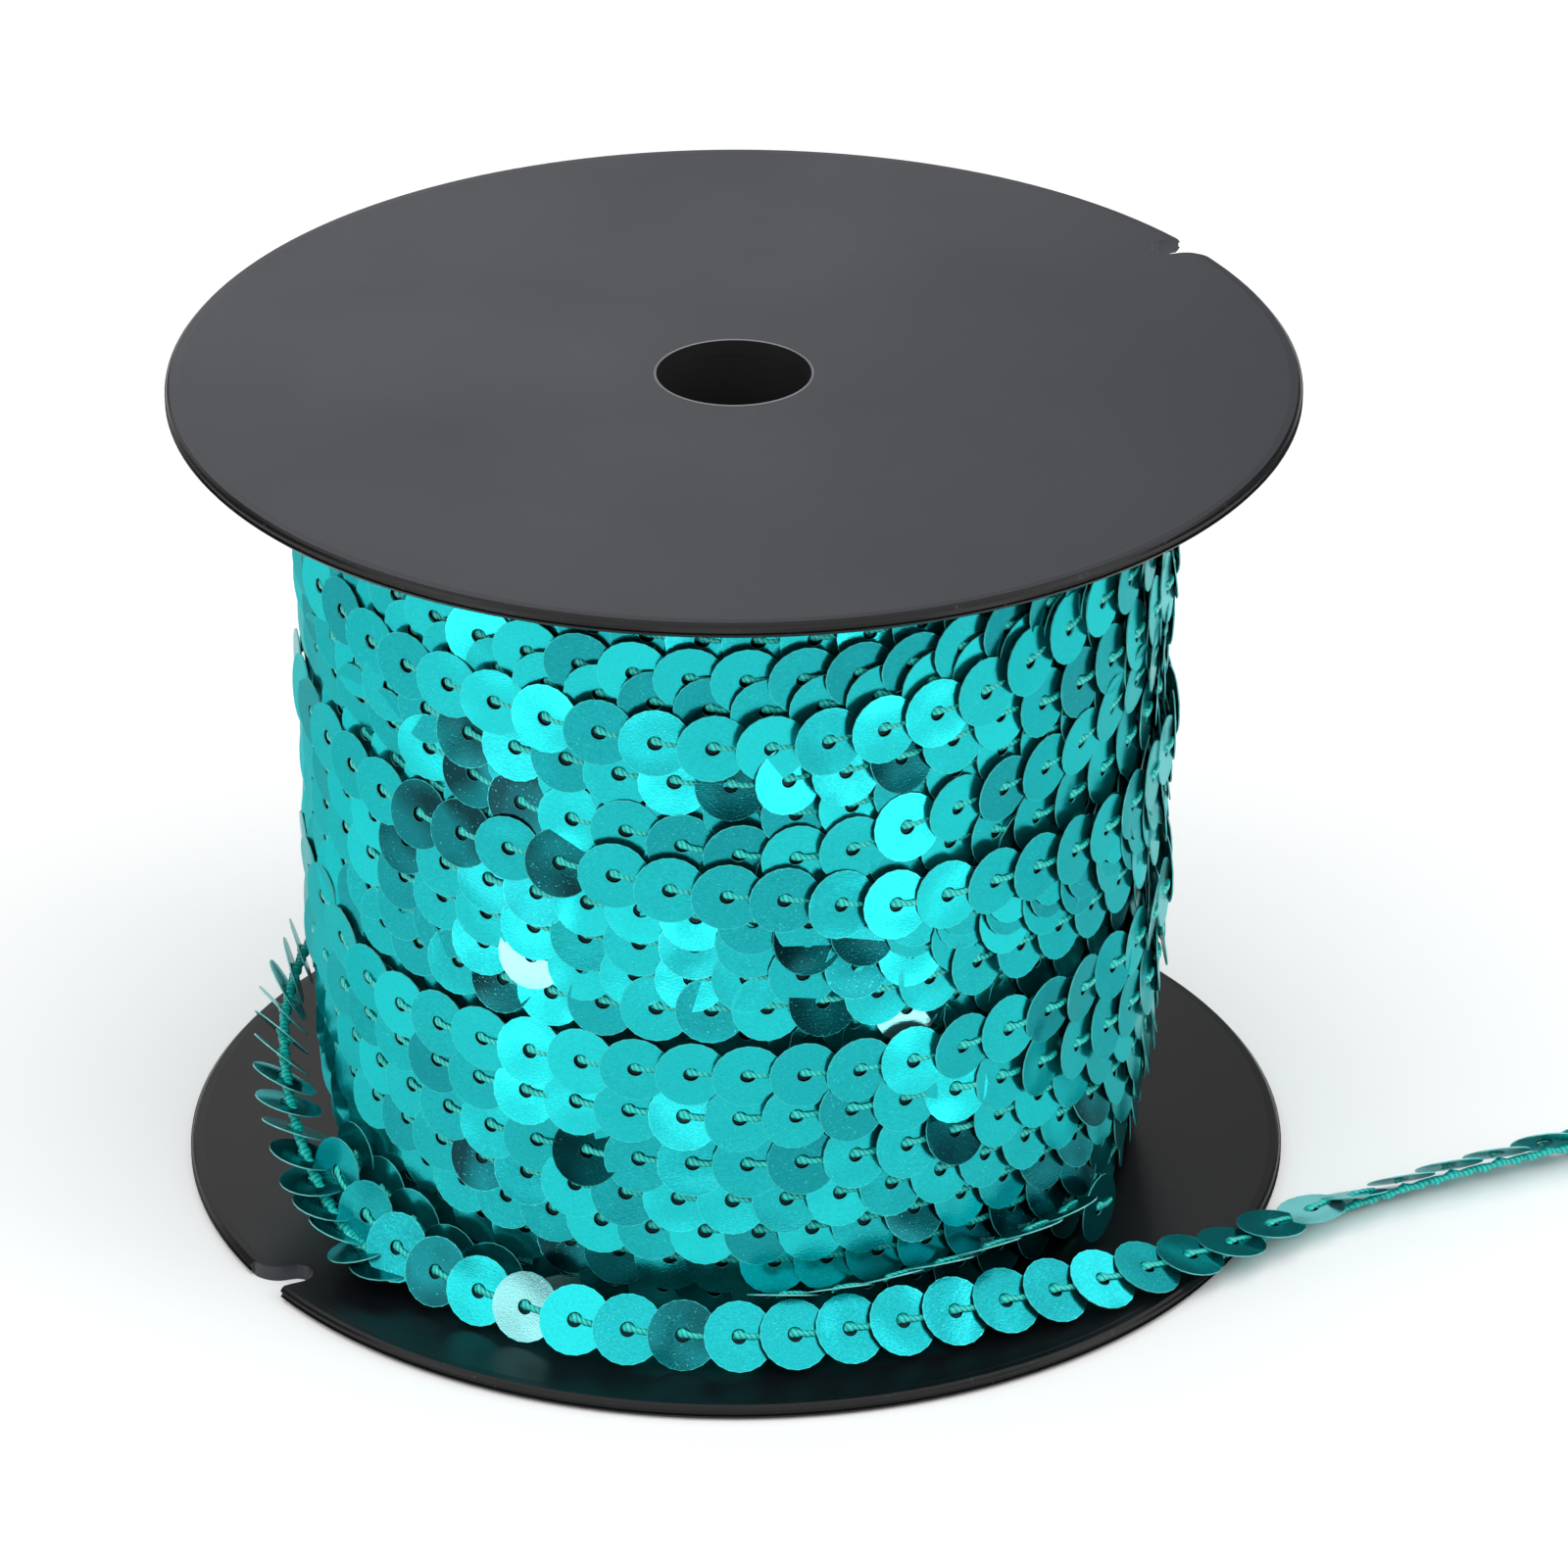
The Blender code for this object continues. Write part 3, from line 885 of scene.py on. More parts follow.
TURNS = (
    Turn(((-70, 69.6), (-35, 69.5), (0, 69.3), (35, 69.4), (70, 69.7)), 0.0, -0.6, 0),
    Turn(((-70, 67.4), (-35, 67.2), (0, 66.4), (35, 66.8), (70, 67.5)), 3.0, -0.4, 0),
    Turn(
        ((-70, 65.4), (-48, 64.6), (-33.5, 63.9), (-19.5, 63.4), (1.5, 63.1), (24, 63.3),
         (39, 64.3), (47.5, 65.0), (70, 65.8)),
        1.5, 0.0, -5, ((-33.5, B),), 9.0,
    ),
    Turn(
        ((-70, 62.8), (-45, 61.9), (-38, 61.5), (-9.5, 60.7), (4, 60.3), (35, 61.6), (70, 63.5)),
        4.0, -0.1, -5,
    ),
    Turn(
        ((-70, 60.6), (-62, 60.5), (-51, 59.3), (-37, 58.9), (-24, 58.3), (-10, 57.5), (4.5, 57.3),
         (18.5, 58.1), (32.5, 59.3), (39, 60.5), (45.5, 61.8), (52.5, 62.6), (59, 62.8), (72, 62.9)),
        4.5, 0.5, 0, ((-24, B), (25.5, B)), 8.0,
    ),
    Turn(
        ((-67, 57.0), (-55, 56.2), (-42, 55.6), (-35, 54.9), (-22, 54.8), (-15, 54.2), (-0.5, 53.8),
         (7, 54.2), (14, 54.6), (28, 55.7), (35, 56.6), (42, 56.2), (50, 56.3), (71, 56.8)),
        -0.5, 0.1, 4, ((-35, D), (-0.5, D), (7, B), (21, D), (80, W)), 7.0,
    ),
    Turn(
        ((-70, 55.3), (-35, 53.2), (-13, 52.3), (-6.5, 51.8), (7, 50.9), (15, 51.2), (24, 52.1),
         (37, 53.2), (46, 53.0), (70, 54.3)),
        0.5, -0.3, 0,
    ),
    Turn(
        ((-66, 53.6), (-53, 53.1), (-40, 51.9), (-34, 51.0), (-28, 49.8), (-20.5, 49.3), (-13, 48.9),
         (-6, 48.0), (0.5, 47.4), (7.5, 47.0), (14.5, 47.3), (21.5, 48.5), (28.5, 49.2), (36, 49.6),
         (49, 50.4), (61, 52.2), (71, 52.4)),
        0.5, 0.0, -4, ((-40, B), (-34, D), (-28, D), (-20.5, B), (21.5, B)),
    ),
    Turn(
        ((-70, 50.2), (-35, 48.0), (0, 45.6), (32, 46.0), (38, 45.4), (51, 45.6), (64, 46.7),
         (72, 47.0)),
        0.0, -0.5, 0,
    ),
    Turn(
        ((-68, 47.2), (-55.5, 46.5), (-42, 45.8), (-29, 45.6), (-15.5, 45.0), (-8.5, 44.2), (-1, 43.8),
         (6.5, 43.4), (13.5, 42.6), (20.5, 41.9), (34.5, 41.7), (50, 41.2), (65, 41.5), (72, 42.0)),
        -1.0, 0.5, 0, ((-42, D), (-35.5, D), (-22.5, D), (20.5, B), (27.5, B), (79, W)),
    ),
    Turn(
        ((-66, 43.2), (-52.5, 42.8), (-39.5, 41.9), (-26, 41.8), (-11.5, 41.7), (0, 41.3), (35, 40.1),
         (70, 40.1)),
        -5.0, -0.1, 6, ((-47, D),),
    ),
    Turn(
        ((-67, 39.6), (-47, 38.9), (-26, 38.6), (-12, 38.7), (2, 39.1), (9.5, 39.3), (17, 39.6),
         (35, 38.9), (70, 38.8)),
        2.0, -0.1, 6, ((9.5, D), (17, D)),
    ),
    Turn(
        ((-60, 36.0), (-41, 35.9), (-27.5, 35.8), (-12.5, 35.7), (1.5, 35.9), (16, 36.5), (23.5, 36.9),
         (37, 37.4), (52, 37.6), (66, 37.7)),
        1.5, -0.1, 6, ((-27.5, W), (23.5, B), (80, W)),
    ),
    Turn(
        ((-60, 33.6), (-39, 33.2), (-24.5, 32.8), (-10.5, 32.8), (4, 33.2), (18.5, 33.8), (32.5, 34.4),
         (54, 34.6), (67, 35.0)),
        4.0, -0.1, 6, ((-31.5, D), (11.5, D)),
    ),
    Turn(
        ((-70, 32.2), (-35, 30.4), (0, 30.1), (16, 30.5), (24, 31.1), (38, 31.2), (57, 31.3),
         (70, 31.5)),
        1.5, -1.1, 0, ((24, W),),
    ),
    Turn(
        ((-69.5, 30.5), (-63, 28.8), (-55.5, 27.2), (-48, 26.7), (-27, 27.0), (-5, 27.0), (9, 26.9),
         (22.5, 26.8), (36.5, 27.1), (58, 27.3), (72, 27.5)),
        1.5, 0.4, -2, ((-27, B), (-20, B), (22.5, B), (78, W)),
    ),
    Turn(
        ((-71, 24.5), (-56, 23.5), (-41, 22.9), (-20.5, 23.0), (0.5, 22.8), (21.5, 23.2), (29, 23.0),
         (44, 22.3), (66.5, 21.5)),
        0.5, 0.3, 3, ((-27.5, B), (-20.5, B), (29, B)),
    ),
    Turn(
        ((-69, 19.4), (-35, 18.1), (1.5, 18.0), (31, 18.5), (60.5, 19.0)),
        1.5, -0.3, 8, ((-20.5, D), (31, D)),
    ),
    Turn(
        ((-58, 15.2), (-37, 14.7), (-0.5, 14.5), (29, 15.1), (67, 15.5)),
        -0.5, -0.3, 10, ((-37, D), (56, D)),
    ),
    Turn(
        ((-62.5, 12.3), (-34, 11.6), (3, 11.4), (32.5, 12.2), (70, 12.8)),
        3.0, -0.2, 8, ((25.5, D), (46, D), (53, D)),
    ),
    Turn(
        ((-70, 9.3), (-54.5, 9.0), (-24, 8.6), (-2, 8.2), (29, 8.3), (66.5, 8.9)),
        -2.0, -0.4, 5, ((-24, D), (-17, D), (33, D), (41, D), (48, D), (55, D)),
    ),
    Turn(
        ((-70, 6.8), (-60, 6.4), (-49.5, 6.2), (-40, 5.0), (-34, 4.8), (-18, 4.9), (4.5, 4.8),
         (30, 4.6), (59, 4.7), (70, 5.0)),
        -3.0, -0.8, 0, ((-28, W), (11, D), (25, D), (32, D), (39, D), (46, D), (54, D)),
    ),
)


@dataclass
class Winding:
    """The wound trim: one long helix of discs, turn on turn, over the darker layers inside.

    Attributes:
        disc_degrees: from disc to disc.
        sunk: how far the discs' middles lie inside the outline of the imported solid.
        inner_depth: how far the turns underneath lie inside those that show.
        core_depth: how far the plain core lies inside them.
        cover: rows closer than this lie over each other's holes.
        press: how far the thread is then pressed in.
        sag: how far the turns beneath push it out of round, twice in a turn.
        ripple: the same, five times in a turn.
        loose_share: share of the discs that sit askew on their thread.
        looseness: how many times further those tilt.
        stray_mm: how far a turn may rise or fall at the back.
        tone: the mean of the discs' tones, and their spread.
        core_r: the core's inner radius.
        core_steps: parts of its height.
        wobble: spread of the discs' tilt, in degrees.
        seed: for what is left to chance.
    """

    disc_degrees: float = 7.15
    sunk: float = 0.0002
    inner_depth: float = 0.0012
    core_depth: float = 0.0026
    cover: float = 0.0037
    press: float = 0.00020
    sag: float = 0.00022
    ripple: float = 0.00012
    loose_share: float = 0.05
    looseness: float = 2.2
    stray_mm: float = 0.4
    tone: tuple[float, float] = (0.52, 0.26)
    wobble: float = 1.8
    core_r: float = 0.012
    core_steps: int = 24
    seed: int = 41

    def __post_init__(self) -> None:
        """Join the turns' marks into smooth lines over the winding's whole angle."""
        heights, lifts, leans, curls = [], [], [], []
        self.glints: list[tuple[float, Glint]] = []
        rng = random.Random(self.seed)
        for count, turn in enumerate(TURNS):
            whole = 360.0 * count
            for degrees, height in turn.marks:
                heights.append((whole + degrees, height * MM))
            if count + 1 < len(TURNS):
                middle = (turn.marks[-1][1] + TURNS[count + 1].marks[0][1]) / 2
                middle += rng.uniform(-self.stray_mm, self.stray_mm)
                heights.append((whole + 180, middle * MM))
            for line, value in ((lifts, turn.lift * MM), (leans, turn.lean), (curls, turn.curl)):
                line.append((whole - 80, value))
                line.append((whole + 80, value))
            self.glints += [(whole + degrees, glint) for degrees, glint in turn.glints]
        self.height = SmoothLine(heights)
        self.lift = SmoothLine(lifts)
        self.lean = SmoothLine(leans)
        self.curl = SmoothLine(curls)

    def point(self, whole: float) -> Vector:
        """Find a point of the helix.

        Args:
            whole: its angle from the first turn's front, in degrees.

        Returns:
            The point.
        """
        height = self.height.at(whole)
        angle = math.radians(whole)
        uneven = self.sag * math.sin(2 * angle + 1) + self.ripple * math.sin(5 * angle)
        radius = outline_radius(height) - self.sunk + self.lift.at(whole) + uneven
        return on_reel(whole, radius, height)

    def seats(self) -> list[Seat]:
        """Place every disc of the helix.

        Returns:
            The seats from the top turn down.
        """
        rng = random.Random(self.seed)
        seats = []
        for count, turn in enumerate(TURNS):
            start = 360.0 * count + turn.phase
            after = TURNS[count + 1].phase if count + 1 < len(TURNS) else turn.phase
            span = 360.0 + after - turn.phase
            discs = round(span / self.disc_degrees)
            if count == 0:
                lead = discs // 2
                seats += self.row(start - lead * span / discs, span / discs, lead, rng)
            seats += self.row(start, span / discs, discs, rng)
        return seats

    def row(self, start: float, step: float, discs: int, rng: random.Random) -> list[Seat]:
        """Place the discs of one turn, from its front round to the next turn's front.

        Args:
            start: whole angle of the first disc.
            step: degrees from disc to disc.
            discs: how many there are.
            rng: the source of chance.

        Returns:
            Their seats.
        """
        seats = []
        for i in range(discs):
            whole = start + i * step
            centre = self.point(whole)
            along = (self.point(whole + 1) - self.point(whole - 1)).normalized()
            outward = Vector((centre.x, centre.y, 0)).normalized()
            face = (outward - along * outward.dot(along)).normalized()
            tipsy = rng.random() < self.loose_share
            spread = self.looseness * self.wobble if tipsy else self.wobble
            seat = Seat(centre, along, face).tipped(
                self.curl.at(whole) + rng.gauss(0, spread),
                self.lean.at(whole) + rng.gauss(0, spread),
                min(max(rng.gauss(*self.tone), 0.0), 1.0),
            )
            found = [glint for at, glint in self.glints if abs(at - whole) < step / 2]
            seats.append(seat.catching(found[0]) if found else seat)
        return seats

    def pressed(self, seats: list[Seat]) -> list[Seat]:
        """Press the thread flat where the row above covers the holes.

        Args:
            seats: the discs' seats.

        Returns:
            Seats for the thread over them.
        """
        pitch_round = len(seats) // len(TURNS)
        laid = []
        for i, seat in enumerate(seats):
            above = seats[max(i - pitch_round, 0)]
            covered = above.centre.z - seat.centre.z < self.cover
            laid.append(seat.sunk(self.press) if covered else seat)
        return laid

    def inner_seats(self) -> list[Seat]:
        """Place the discs of the turns underneath, between the rows that show.

        Returns:
            Their seats, darker than the rest.
        """
        rng = random.Random(self.seed + 1)
        seats = []
        discs = int(360.0 * (len(TURNS) - 1) / self.disc_degrees)
        for i in range(discs):
            whole = (i + 0.5) * self.disc_degrees
            above, below = self.point(whole), self.point(whole + 360)
            outward = Vector((above.x, above.y, 0)).normalized()
            centre = (above + below) / 2 - outward * (self.inner_depth + rng.uniform(0, 0.0003))
            along = (self.point(whole + 1) - self.point(whole - 1)).normalized()
            seats.append(
                Seat(centre, along, outward).tipped(
                    rng.gauss(CURL, 4.0), rng.gauss(2.0, 6.0), rng.uniform(0.3, 0.7)
                )
            )
        return seats

    def core(self, material: Material) -> Mesh:
        """Model the layers further in, as one ring behind the discs.

        Args:
            material: the under layers' finish.

        Returns:
            The ring's mesh.
        """
        low, high = FLANGE_T, REEL_HEIGHT - FLANGE_T
        profile = [(self.core_r, low)]
        for step in range(self.core_steps + 1):
            height = low + (high - low) * step / self.core_steps
            profile.append((outline_radius(height) - self.core_depth, height))
        profile.append((self.core_r, high))
        mesh = mesh_from(turn_profile(profile, FACETS_ROUND))
        mesh.materials.append(material)
        return mesh


# The reel's plastics: satin outside, glossy inside, on the rim, pale grey on the lip at the bore as a
# painted highlight, and in the bore
PLASTICS = (
    MouldedPolystyrene("black_polystyrene_moulded_satin", "#191D26", 0.36, 0.10),
    MouldedPolystyrene("black_polystyrene_moulded_gloss", "#0A0B0E", 0.32, 0.05, 0.25),
    MouldedPolystyrene("black_polystyrene_moulded_rim", "#0C0C0E", 0.26, 0.30, 0.18, scuff_mm=0.9),
    MouldedPolystyrene("black_polystyrene_bore_lip_painted_highlight", "#6A6C70", 0.40, 0.95, scuff_mm=0.7),
    MouldedPolystyrene("black_polystyrene_moulded_plain", "#070708", 0.60, 0.0),
)
SATIN, GLOSS, RIM, BORE_LIP_HIGHLIGHT, PLAIN = range(len(PLASTICS))


@dataclass
class Reel:
    """The moulded reel: two equal flanges, each with a bore and a thread slit, and the hub."""

    edge_round: float = 0.0004
    edge_ease: float = 0.0009
    parting_depth: float = 0.00018
    burr: float = 0.00020
    hub_wall: float = 0.0018
    gap: float = 0.00003
    slit_width: float = 0.0029
    slit_depth: float = 0.0038
    slit_flare: float = 0.0026
    flare_degrees: float = 78.0
    slit_lean: float = math.radians(10.5)
    slit_angle_top: float = math.radians(33.9)
    slit_angle_bottom: float = math.radians(213.9)
    steps: int = 180

    def dress(self) -> None:
        """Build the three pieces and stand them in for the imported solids."""
        self.plastics: list[Material] = [plastic.make() for plastic in PLASTICS]
        self.flange("bottom_flange", 0.0, 1, self.slit_angle_bottom)
        self.flange("top_flange", REEL_HEIGHT - FLANGE_T, -1, self.slit_angle_top)
        low, high = FLANGE_T + self.gap, REEL_HEIGHT - FLANGE_T - self.gap
        outer = BORE_R + self.hub_wall
        mesh = mesh_from(
            turn_profile([(BORE_R, low), (outer, low), (outer, high), (BORE_R, high)], FACETS_ROUND)
        )
        mesh.materials.append(self.plastics[PLAIN])
        finish_piece("hub_tube", mesh, ("hub",))

    def section(self, base: float) -> list[tuple[float, float]]:
        """Draw a flange's section.

        Args:
            base: height of its lower face.

        Returns:
            (radius, height) points, with a burr at the bore, an eased rim and a parting line.
        """
        top, middle = base + FLANGE_T, base + FLANGE_T / 2
        rim, small = self.edge_round, self.edge_round / 12
        line = FLANGE_R - rim - self.edge_ease * 0.7
        upper = [
            (BORE_R, top - rim / 2),
            (BORE_R, top),
            (BORE_R + self.burr / 2, top + self.burr / 3),
            (BORE_R + self.burr, top),
            (line, top),
            (line + small, top - small / 3),
            (FLANGE_R - rim, top - small),
            (FLANGE_R - rim / 2, top - rim / 2),
            (FLANGE_R - rim / 5, top - rim),
            (FLANGE_R, middle + 1.4 * self.parting_depth),
            (FLANGE_R - self.parting_depth, middle + self.parting_depth),
        ]
        lower = [(radius, 2 * middle - height) for radius, height in reversed(upper)]
        return upper + lower

    def flange(self, node: str, base: float, inner_side: int, slit_angle: float) -> None:
        """Build one flange with its slit cut.

        Args:
            node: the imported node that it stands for.
            base: height of its lower face.
            inner_side: 1 where its upper face is the one that meets the winding, else -1.
            slit_angle: plan angle of its slit, from +X.
        """
        mesh = mesh_from(turn_profile(self.section(base), self.steps))
        for material in self.plastics:
            mesh.materials.append(material)
        for face in mesh.polygons:
            radius = math.hypot(face.center.x, face.center.y)
            steep = abs(face.normal.z) < 0.93
            face.material_index = GLOSS if face.normal.z * inner_side > 0 else SATIN
            # The lip at the bore is painted pale grey, a painted highlight
            if radius < BORE_R + self.burr:
                face.material_index = BORE_LIP_HIGHLIGHT if abs(face.normal.z) > 0.3 else PLAIN
            elif steep:
                face.material_index = RIM
        body = bpy.data.objects.new(node + "_work", mesh)
        cutter = bpy.data.objects.new(node + "_slit", mesh_from(self.slit(slit_angle, base)))
        for obj in (body, cutter):
            bpy.context.scene.collection.objects.link(obj)
        cut = body.modifiers.new("slit", "BOOLEAN")
        cut.object, cut.operation, cut.solver = cutter, "DIFFERENCE", "EXACT"
        bpy.context.view_layer.update()
        evaluated = body.evaluated_get(bpy.context.evaluated_depsgraph_get())
        finished = bpy.data.meshes.new_from_object(evaluated)
        for obj in (body, cutter):
            bpy.data.objects.remove(obj, do_unlink=True)
        finish_piece(node.replace("flange", "plate"), finished, (node,), 5.0)

    def at_rim(self, angle: float, height: float) -> Matrix:
        """Return the frame of a slit: at the rim, with +X pointing inwards along it."""
        place = (FLANGE_R * math.cos(angle), FLANGE_R * math.sin(angle), height)
        return Matrix.Translation(place) @ Matrix.Rotation(angle + math.pi - self.slit_lean, 4, "Z")

    def slit(self, angle: float, base: float) -> BMesh:
        """Model the cutter of one thread slit, flared on one side of its mouth.

        Args:
            angle: the slit's plan angle.
            base: height of the flange's lower face.

        Returns:
            The cutter.
        """
        half = self.slit_width / 2
        straight = self.slit_depth - half
        outline = [(-2 * self.slit_depth, -half), (straight, -half)]
        for step in range(1, 9):
            turn = math.pi * step / 8 - math.pi / 2
            outline.append((straight + half * math.cos(turn), half * math.sin(turn)))
        for step in range(1, 10):
            turn = math.radians(self.flare_degrees * step / 9)
            side = half + self.slit_flare * (1 - math.cos(turn))
            outline.append((straight - self.slit_flare * math.sin(turn), side))
        outline.append((-2 * self.slit_depth, outline[-1][1]))
        work = bmesh.new()
        face = work.faces.new([work.verts.new((*point, -FLANGE_T)) for point in outline])
        raised = bmesh.ops.extrude_face_region(work, geom=[face])["geom"]
        top = [part for part in raised if isinstance(part, bmesh.types.BMVert)]
        bmesh.ops.translate(work, verts=top, vec=(0, 0, 4 * FLANGE_T))
        bmesh.ops.transform(work, matrix=self.at_rim(angle, base), verts=work.verts)
        bmesh.ops.recalc_face_normals(work, faces=work.faces)
        return work


Mark = tuple[float, float, float, float]


class Route:
    """A smooth line that a loose length of trim follows, with the way its face looks."""

    STEPS = 12

    def __init__(self, marks: list[tuple[Vector, Vector]]) -> None:
        """Run a smooth curve through the marks.

        Args:
            marks: a point in metres and the face's direction there.
        """
        rows = [marks[0], *marks, marks[-1]]
        self.points: list[tuple[Vector, Vector]] = []
        for i in range(1, len(rows) - 2):
            (before, _), (start, face), (end, next_face), (after, _) = rows[i - 1 : i + 3]
            for step in range(self.STEPS):
                t = step / self.STEPS
                point = 0.5 * (
                    2 * start
                    + (end - before) * t
                    + (2 * before - 5 * start + 4 * end - after) * t * t
                    + (3 * start - before - 3 * end + after) * t**3
                )
                self.points.append((point, face.lerp(next_face, t)))
        self.points.append(rows[-1])
        steps = [(b[0] - a[0]).length for a, b in zip(self.points, self.points[1:])]
        self.travelled = [0.0, *np.cumsum(steps)]

    @classmethod
    def round_reel(cls, marks: tuple[Mark, ...]) -> Route:
        """Lead a route round the reel.

        Args:
            marks: degrees, radius, height, and the tilt of the face from level, outwards.

        Returns:
            The route.
        """
        rows = []
        for degrees, radius, height, tilt in marks:
            angle = math.radians(tilt)
            face = on_reel(degrees, math.sin(angle), math.cos(angle))
            rows.append((on_reel(degrees, radius, height), face))
        return cls(rows)

    @classmethod
    def on_floor(cls, marks: tuple[Mark, ...]) -> Route:
        """Lead a route over level ground.

        Args:
            marks: x, y, z, and the tilt of the face from level, to the route's right.

        Returns:
            The route.
        """
        places = [Vector(mark[:3]) for mark in marks]
        rows = []
        for i, place in enumerate(places):
            way = places[min(i + 1, len(places) - 1)] - places[max(i - 1, 0)]
            level = Vector((way.y, -way.x, 0)).normalized()
            angle = math.radians(marks[i][3])
            rows.append((place, level * math.sin(angle) + Vector((0, 0, math.cos(angle)))))
        return cls(rows)

    @property
    def length(self) -> float:
        """The route's length in metres."""
        return float(self.travelled[-1])

    def seat(self, distance: float) -> Seat:
        """Seat a disc on the route.

        Args:
            distance: how far along the route its hole is.

        Returns:
            The seat, with the disc's face square to the route.
        """
        i = int(np.searchsorted(self.travelled, distance)) - 1
        i = max(0, min(i, len(self.points) - 2))
        (start, face), (end, next_face) = self.points[i : i + 2]
        share = (distance - self.travelled[i]) / (self.travelled[i + 1] - self.travelled[i])
        along = (end - start).normalized()
        looks = face.lerp(next_face, share)
        return Seat(start.lerp(end, share), along, (looks - along * looks.dot(along)).normalized())

    def spine(self, count: int, pitch: float) -> list[Seat]:
        """Return seats square to the route at a pitch, counted back from its end."""
        first = self.length - (count - 0.5) * pitch
        return [self.seat(first + i * pitch) for i in range(count)]


def shingled(
    spine: list[Seat],
    wobble: float,
    seed: int,
    tones: tuple[float, float] = (0.2, 0.8),
    glints: dict[int, Glint] | None = None,
    curl: float = CURL,
) -> list[Seat]:
    """Lay each disc of a row on its left-hand neighbour.

    Args:
        spine: the discs' seats, square to their route.
        wobble: spread of the tilt between neighbours, in degrees.
        seed: for that spread.
        tones: the range of their tones.
        glints: what some of the discs catch, by their number.
        curl: degrees that the left edge of each disc is raised.

    Returns:
        The seats.
    """
    rng = random.Random(seed)
    seats = []
    for i, seat in enumerate(spine):
        laid = seat.tipped(curl + rng.gauss(0, wobble), rng.gauss(0, wobble), rng.uniform(*tones))
        seats.append(laid.catching(glints[i]) if glints and i in glints else laid)
    return seats


@dataclass(frozen=True)
class StrayRun:
    """A length of trim low down that has slipped off the winding's face.

    Attributes:
        marks: degrees, radius, height and tilt of its face from level.
        tones: the range of its discs' tones.
        wobble: spread of their tilt, in degrees.
        curl: degrees that the left edge of each disc is raised.
    """

    marks: tuple[Mark, ...]
    tones: tuple[float, float] = (0.2, 0.8)
    wobble: float = 2.5
    curl: float = CURL


STRAY_RUNS = (
    # The disc before the loose end, at the left
    StrayRun(((-63.0, 0.0393, 0.0094, 82), (-56.5, 0.0395, 0.0070, 76))),
    # Behind the start of the loose end
    StrayRun(
        ((-63, 0.0370, 0.0112, 86), (-59, 0.0372, 0.0080, 84), (-49.5, 0.0372, 0.0070, 84),
         (-45, 0.0372, 0.0056, 82), (-40, 0.0372, 0.0044, 82), (-30, 0.0372, 0.0043, 82)),
        tones=(0.2, 0.7),
    ),
    # Edge on to the camera, above the loose end at the right
    StrayRun(
        ((-4, 0.0365, 0.0055, -31), (8, 0.0385, 0.0067, -31), (18, 0.0385, 0.0071, -31),
         (32, 0.0385, 0.0077, -31), (44, 0.0383, 0.0077, -31), (50, 0.0374, 0.0074, -31)),
        wobble=1.2,
        curl=2.0,
    ),
    # One disc that hangs down over the end of that run
    StrayRun(((50, 0.0378, 0.0056, 90), (58.5, 0.0376, 0.0050, 90)), tones=(0.0, 0.1)),
)


@dataclass
class LastTurn:
    """The turn at the lower left that comes off the winding and falls over, face down."""

    marks: tuple[Mark, ...] = (
        (-112.0, 0.0379, 0.0165, 90.0),
        (-98.0, 0.0383, 0.0154, 104.0),
        (-86.0, 0.0392, 0.0137, 128.0),
        (-76.0, 0.0399, 0.0115, 148.0),
        (-68.0, 0.0404, 0.0089, 160.0),
        (-61.0, 0.0406, 0.0062, 166.0),
        (-54.0, 0.0406, 0.0040, 170.0),
        (-46.0, 0.0400, 0.0028, 173.0),
    )
    pitch: float = 0.0027
    thread_in: float = 0.00055

    def dress(self, maker: TrimMaker) -> None:
        """Build the turn's discs and the thread behind them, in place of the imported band.

        Args:
            maker: makes discs and thread.
        """
        route = Route.round_reel(self.marks)
        spine = route.spine(int(route.length / self.pitch), self.pitch)
        # Tones below 0 give some of the fallen discs a painted dark reflection
        seats = shingled(spine, 6.0, 17, (-0.4, 0.5), curl=26.0)
        finish_piece("last_turn_sequins", maker.discs(seats, 5), ("last_turn",))
        finish_piece("last_turn_thread", maker.stitches(seats, 6), (), 80)
        near = [seat.sunk(-self.thread_in) for seat in spine]
        finish_piece("last_turn_chain", maker.chain(near, 9), (), 80)


